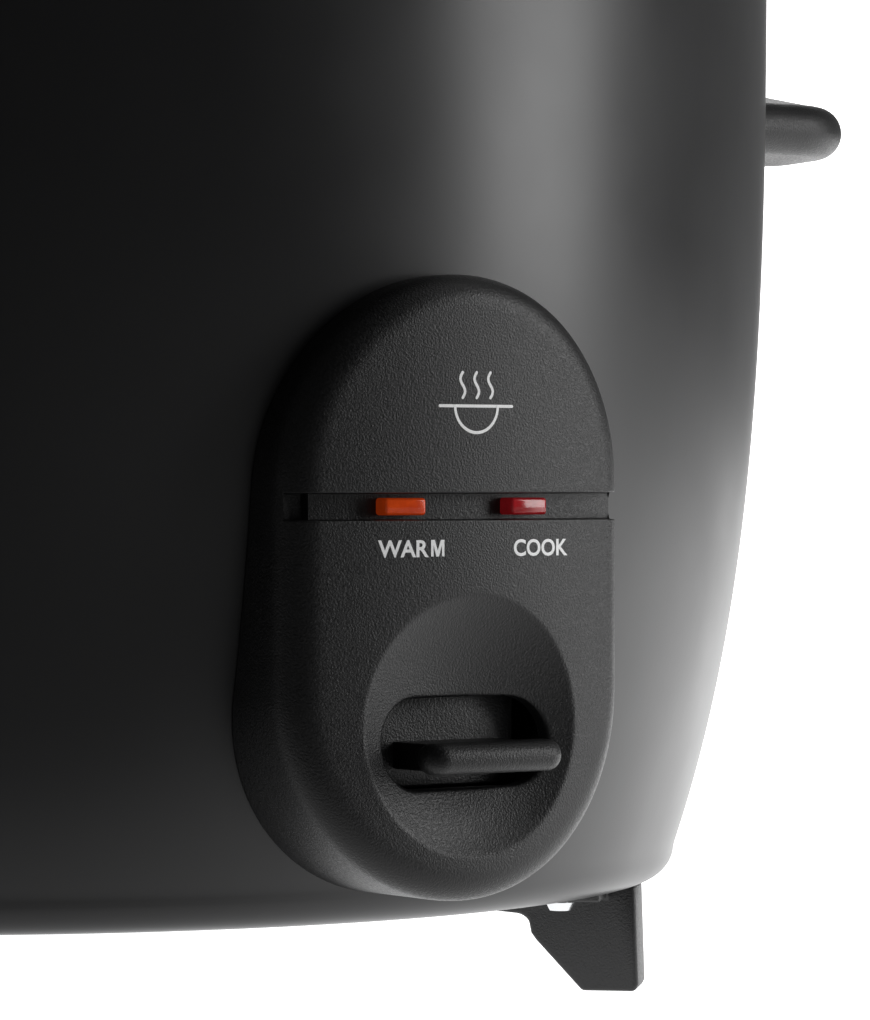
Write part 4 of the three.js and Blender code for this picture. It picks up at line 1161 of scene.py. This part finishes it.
def spun(name, outline, steps=180, round_by=0.0002):
    """A fine turned piece from an outline, closed on the axis or on itself, its edges rounded."""
    open_ended = outline[0].x < 1e-5 and outline[-1].x < 1e-5
    kept = []
    count = len(outline)
    for i, point in enumerate(outline):
        before, after = outline[i - 1], outline[(i + 1) % count]
        at_end = open_ended and i in (0, count - 1)
        if at_end or abs((point - before).angle_signed(after - point, 0.0)) > 0.01:
            kept.append(point)
    work = bmesh.new()
    corners = [work.verts.new((p.x, axis_y, p.y)) for p in kept]
    for a, b in zip(corners, corners[1:] + ([] if open_ended else corners[:1])):
        work.edges.new((a, b))
    bmesh.ops.spin(work, geom=[*work.verts, *work.edges], cent=axis, axis=(0, 0, 1), angle=2 * math.pi,
                   steps=steps, use_merge=True, use_duplicate=False)
    bmesh.ops.remove_doubles(work, verts=work.verts, dist=2e-6)
    bmesh.ops.recalc_face_normals(work, faces=work.faces)
    mesh = bpy.data.meshes.new(name)
    work.to_mesh(mesh)
    work.free()
    holder = new_object(name, mesh)
    bevel = holder.modifiers.new("round", "BEVEL")
    bevel.width = round_by
    bevel.segments = 2
    bevel.angle_limit = math.radians(40)
    return settle(holder)


def turned_piece(node, material, body, azimuth=44.9, round_by=0.0002):
    """Replaces a turned CAD piece by a fine one with the same outline."""
    mesh = spun(node + "_turned", section(node, azimuth), round_by=round_by)
    return fit_piece(node + "_turned", mesh, material, body, [node], sharp=40)


liner_aluminium = metal("liner_aluminium", (0.62, 0.63, 0.64), (0.74, 0.75, 0.76), 0.38, 200, (1, 1, 0.05))
turned_piece("inner_liner", liner_aluminium, "housing")

# ---------------------------------------------------------------- heating plate
# Cast aluminium disc with the heating coil cast into its back, its top turned flat in fine rings.


def ring_grooves(material, pitch, depth):
    """Fine turned rings about the drum's axis, as relief."""
    tree = material.node_tree
    place = tree.nodes.new("ShaderNodeTexCoord")
    centred = tree.nodes.new("ShaderNodeMapping")
    centred.inputs["Location"].default_value = (0, -axis_y, 0)
    rings = tree.nodes.new("ShaderNodeTexWave")
    rings.wave_type = "RINGS"
    rings.rings_direction = "Z"
    rings.inputs["Scale"].default_value = 0.314 / pitch
    rings.inputs["Distortion"].default_value = 0.2
    tree.links.new(place.outputs["Object"], centred.inputs["Vector"])
    tree.links.new(centred.outputs["Vector"], rings.inputs["Vector"])
    relief(material, rings.outputs["Fac"], depth, 0.6)


cast_aluminium = metal("cast_aluminium", (0.5, 0.51, 0.52), (0.64, 0.65, 0.66), 0.4)
ring_grooves(cast_aluminium, 0.0012, 0.00003)
turned_piece("heating_plate", cast_aluminium, "housing", round_by=0.0004)
ceramic = new_material("ceramic", Roughness=0.7)
tint(ceramic, noise_on(ceramic, 300, 3), (0.62, 0.6, 0.54), (0.78, 0.76, 0.7))
relief(ceramic, noise_on(ceramic, 1500, 2), 0.00004, 0.5)
for number in (1, 2):
    soft_copy(f"heater_terminal_{number}", ceramic, "housing", 0.0003)

# ---------------------------------------------------------------- thermostat
# Sprung aluminium cap in the middle of the plate, with a ferrite disc under it, and below them the
# magnet on its pull rod in a steel sleeve. Two wire springs work against them.

ferrite = new_material("ferrite", Roughness=0.75)
tint(ferrite, noise_on(ferrite, 260, 3), (0.04, 0.04, 0.043), (0.075, 0.075, 0.08))
relief(ferrite, noise_on(ferrite, 1200, 2), 0.00005, 0.6)
turned_piece("sensor_cap", cast_aluminium, "sensor", 53.9, 0.0003)
turned_piece("ferrite_disc", ferrite, "sensor", 53.9, 0.0003)
turned_piece("thermostat_magnet", ferrite, "magnet", 53.9, 0.0004)
turned_piece("pull_rod", bright_steel, "magnet", 35.9, 0.0002)
turned_piece("thermostat_housing", zinc_steel, "housing", 53.9)
for node in ("sensor_spring", "release_spring"):
    finish_node(node, bright_steel)

# ---------------------------------------------------------------- keep-warm parts
# Mica band heater round the liner, with its small ceramic thermostat and the thermal fuse under the
# liner's floor.

mica = new_material("mica", Roughness=0.7)
tint(mica, noise_on(mica, 90, 6, (1, 1, 3)), (0.42, 0.35, 0.22), (0.58, 0.5, 0.36))
relief(mica, noise_on(mica, 700, 3), 0.00004, 0.4)
turned_piece("keep_warm_heater", mica, "housing")
soft_copy("keep_warm_thermostat", ceramic, "housing", 0.0005)
soft_copy("thermal_fuse", ceramic, "housing", 0.0004)

# ---------------------------------------------------------------- cooking pot
# Drawn aluminium pot with a dark non-stick coat, fine speckled, with raised level marks up its wall.

non_stick = new_material("non_stick", Metallic=0.25)
tint(non_stick, noise_on(non_stick, 1400, 2), (0.022, 0.022, 0.023), (0.055, 0.055, 0.057))
spread(non_stick, noise_on(non_stick, 900, 2), 0.34, 0.48, "Roughness")
relief(non_stick, noise_on(non_stick, 1600, 2), 0.00003, 0.4)
turned_piece("inner_pot", non_stick, "pot", round_by=0.0003)

pot_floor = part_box("inner_pot")[0].z
pot_wall_inside = 0.1073
marks_tree, marks_in, marks_out = growing_tree("level_marks", {
    "Count": "Int", "Start": "Vector", "Step": "Float", "Mark": "Vector", "Material": "Material"})
column = marks_tree.nodes.new("GeometryNodeMeshLine")
step_up = marks_tree.nodes.new("ShaderNodeCombineXYZ")
marks_tree.links.new(marks_in.outputs["Step"], step_up.inputs["Z"])
marks_tree.links.new(marks_in.outputs["Count"], column.inputs["Count"])
marks_tree.links.new(marks_in.outputs["Start"], column.inputs["Start Location"])
marks_tree.links.new(step_up.outputs["Vector"], column.inputs["Offset"])
bar = marks_tree.nodes.new("GeometryNodeMeshCube")
marks_tree.links.new(marks_in.outputs["Mark"], bar.inputs["Size"])
rows = marks_tree.nodes.new("GeometryNodeInstanceOnPoints")
marks_tree.links.new(column.outputs["Mesh"], rows.inputs["Points"])
marks_tree.links.new(bar.outputs["Mesh"], rows.inputs["Instance"])
closing(marks_tree, marks_in, marks_out, rows.outputs["Instances"])
marks_mesh = grown("level_marks", marks_tree, {
    "Count": 8, "Start": Vector((0, axis_y + pot_wall_inside, pot_floor + 0.02)), "Step": 0.009,
    "Mark": Vector((0.009, 0.0005, 0.0007)), "Material": non_stick})
outward(marks_mesh)
fit_piece("pot_level_marks", marks_mesh, non_stick, "pot")

# ---------------------------------------------------------------- lid
# Domed glass in a rolled steel band, a black knob held by a screw and washer through its middle, and a
# small steam vent.

clear_glass = new_material("clear_glass", Roughness=0.03, IOR=1.5)
clear_glass.node_tree.nodes["Principled BSDF"].inputs["Transmission Weight"].default_value = 1.0
tint(clear_glass, noise_on(clear_glass, 30), (0.93, 0.96, 0.95), (0.97, 0.99, 0.98))
turned_piece("lid_glass", clear_glass, "lid", round_by=0.0004)
turned_piece("lid_band", bright_steel, "lid")
turned_piece("lid_knob", black_plastic, "lid", 53.9, 0.0008)
turned_piece("lid_washer", bright_steel, "lid", 53.9)
soft_copy("steam_vent", bright_steel, "lid", 0.0002)
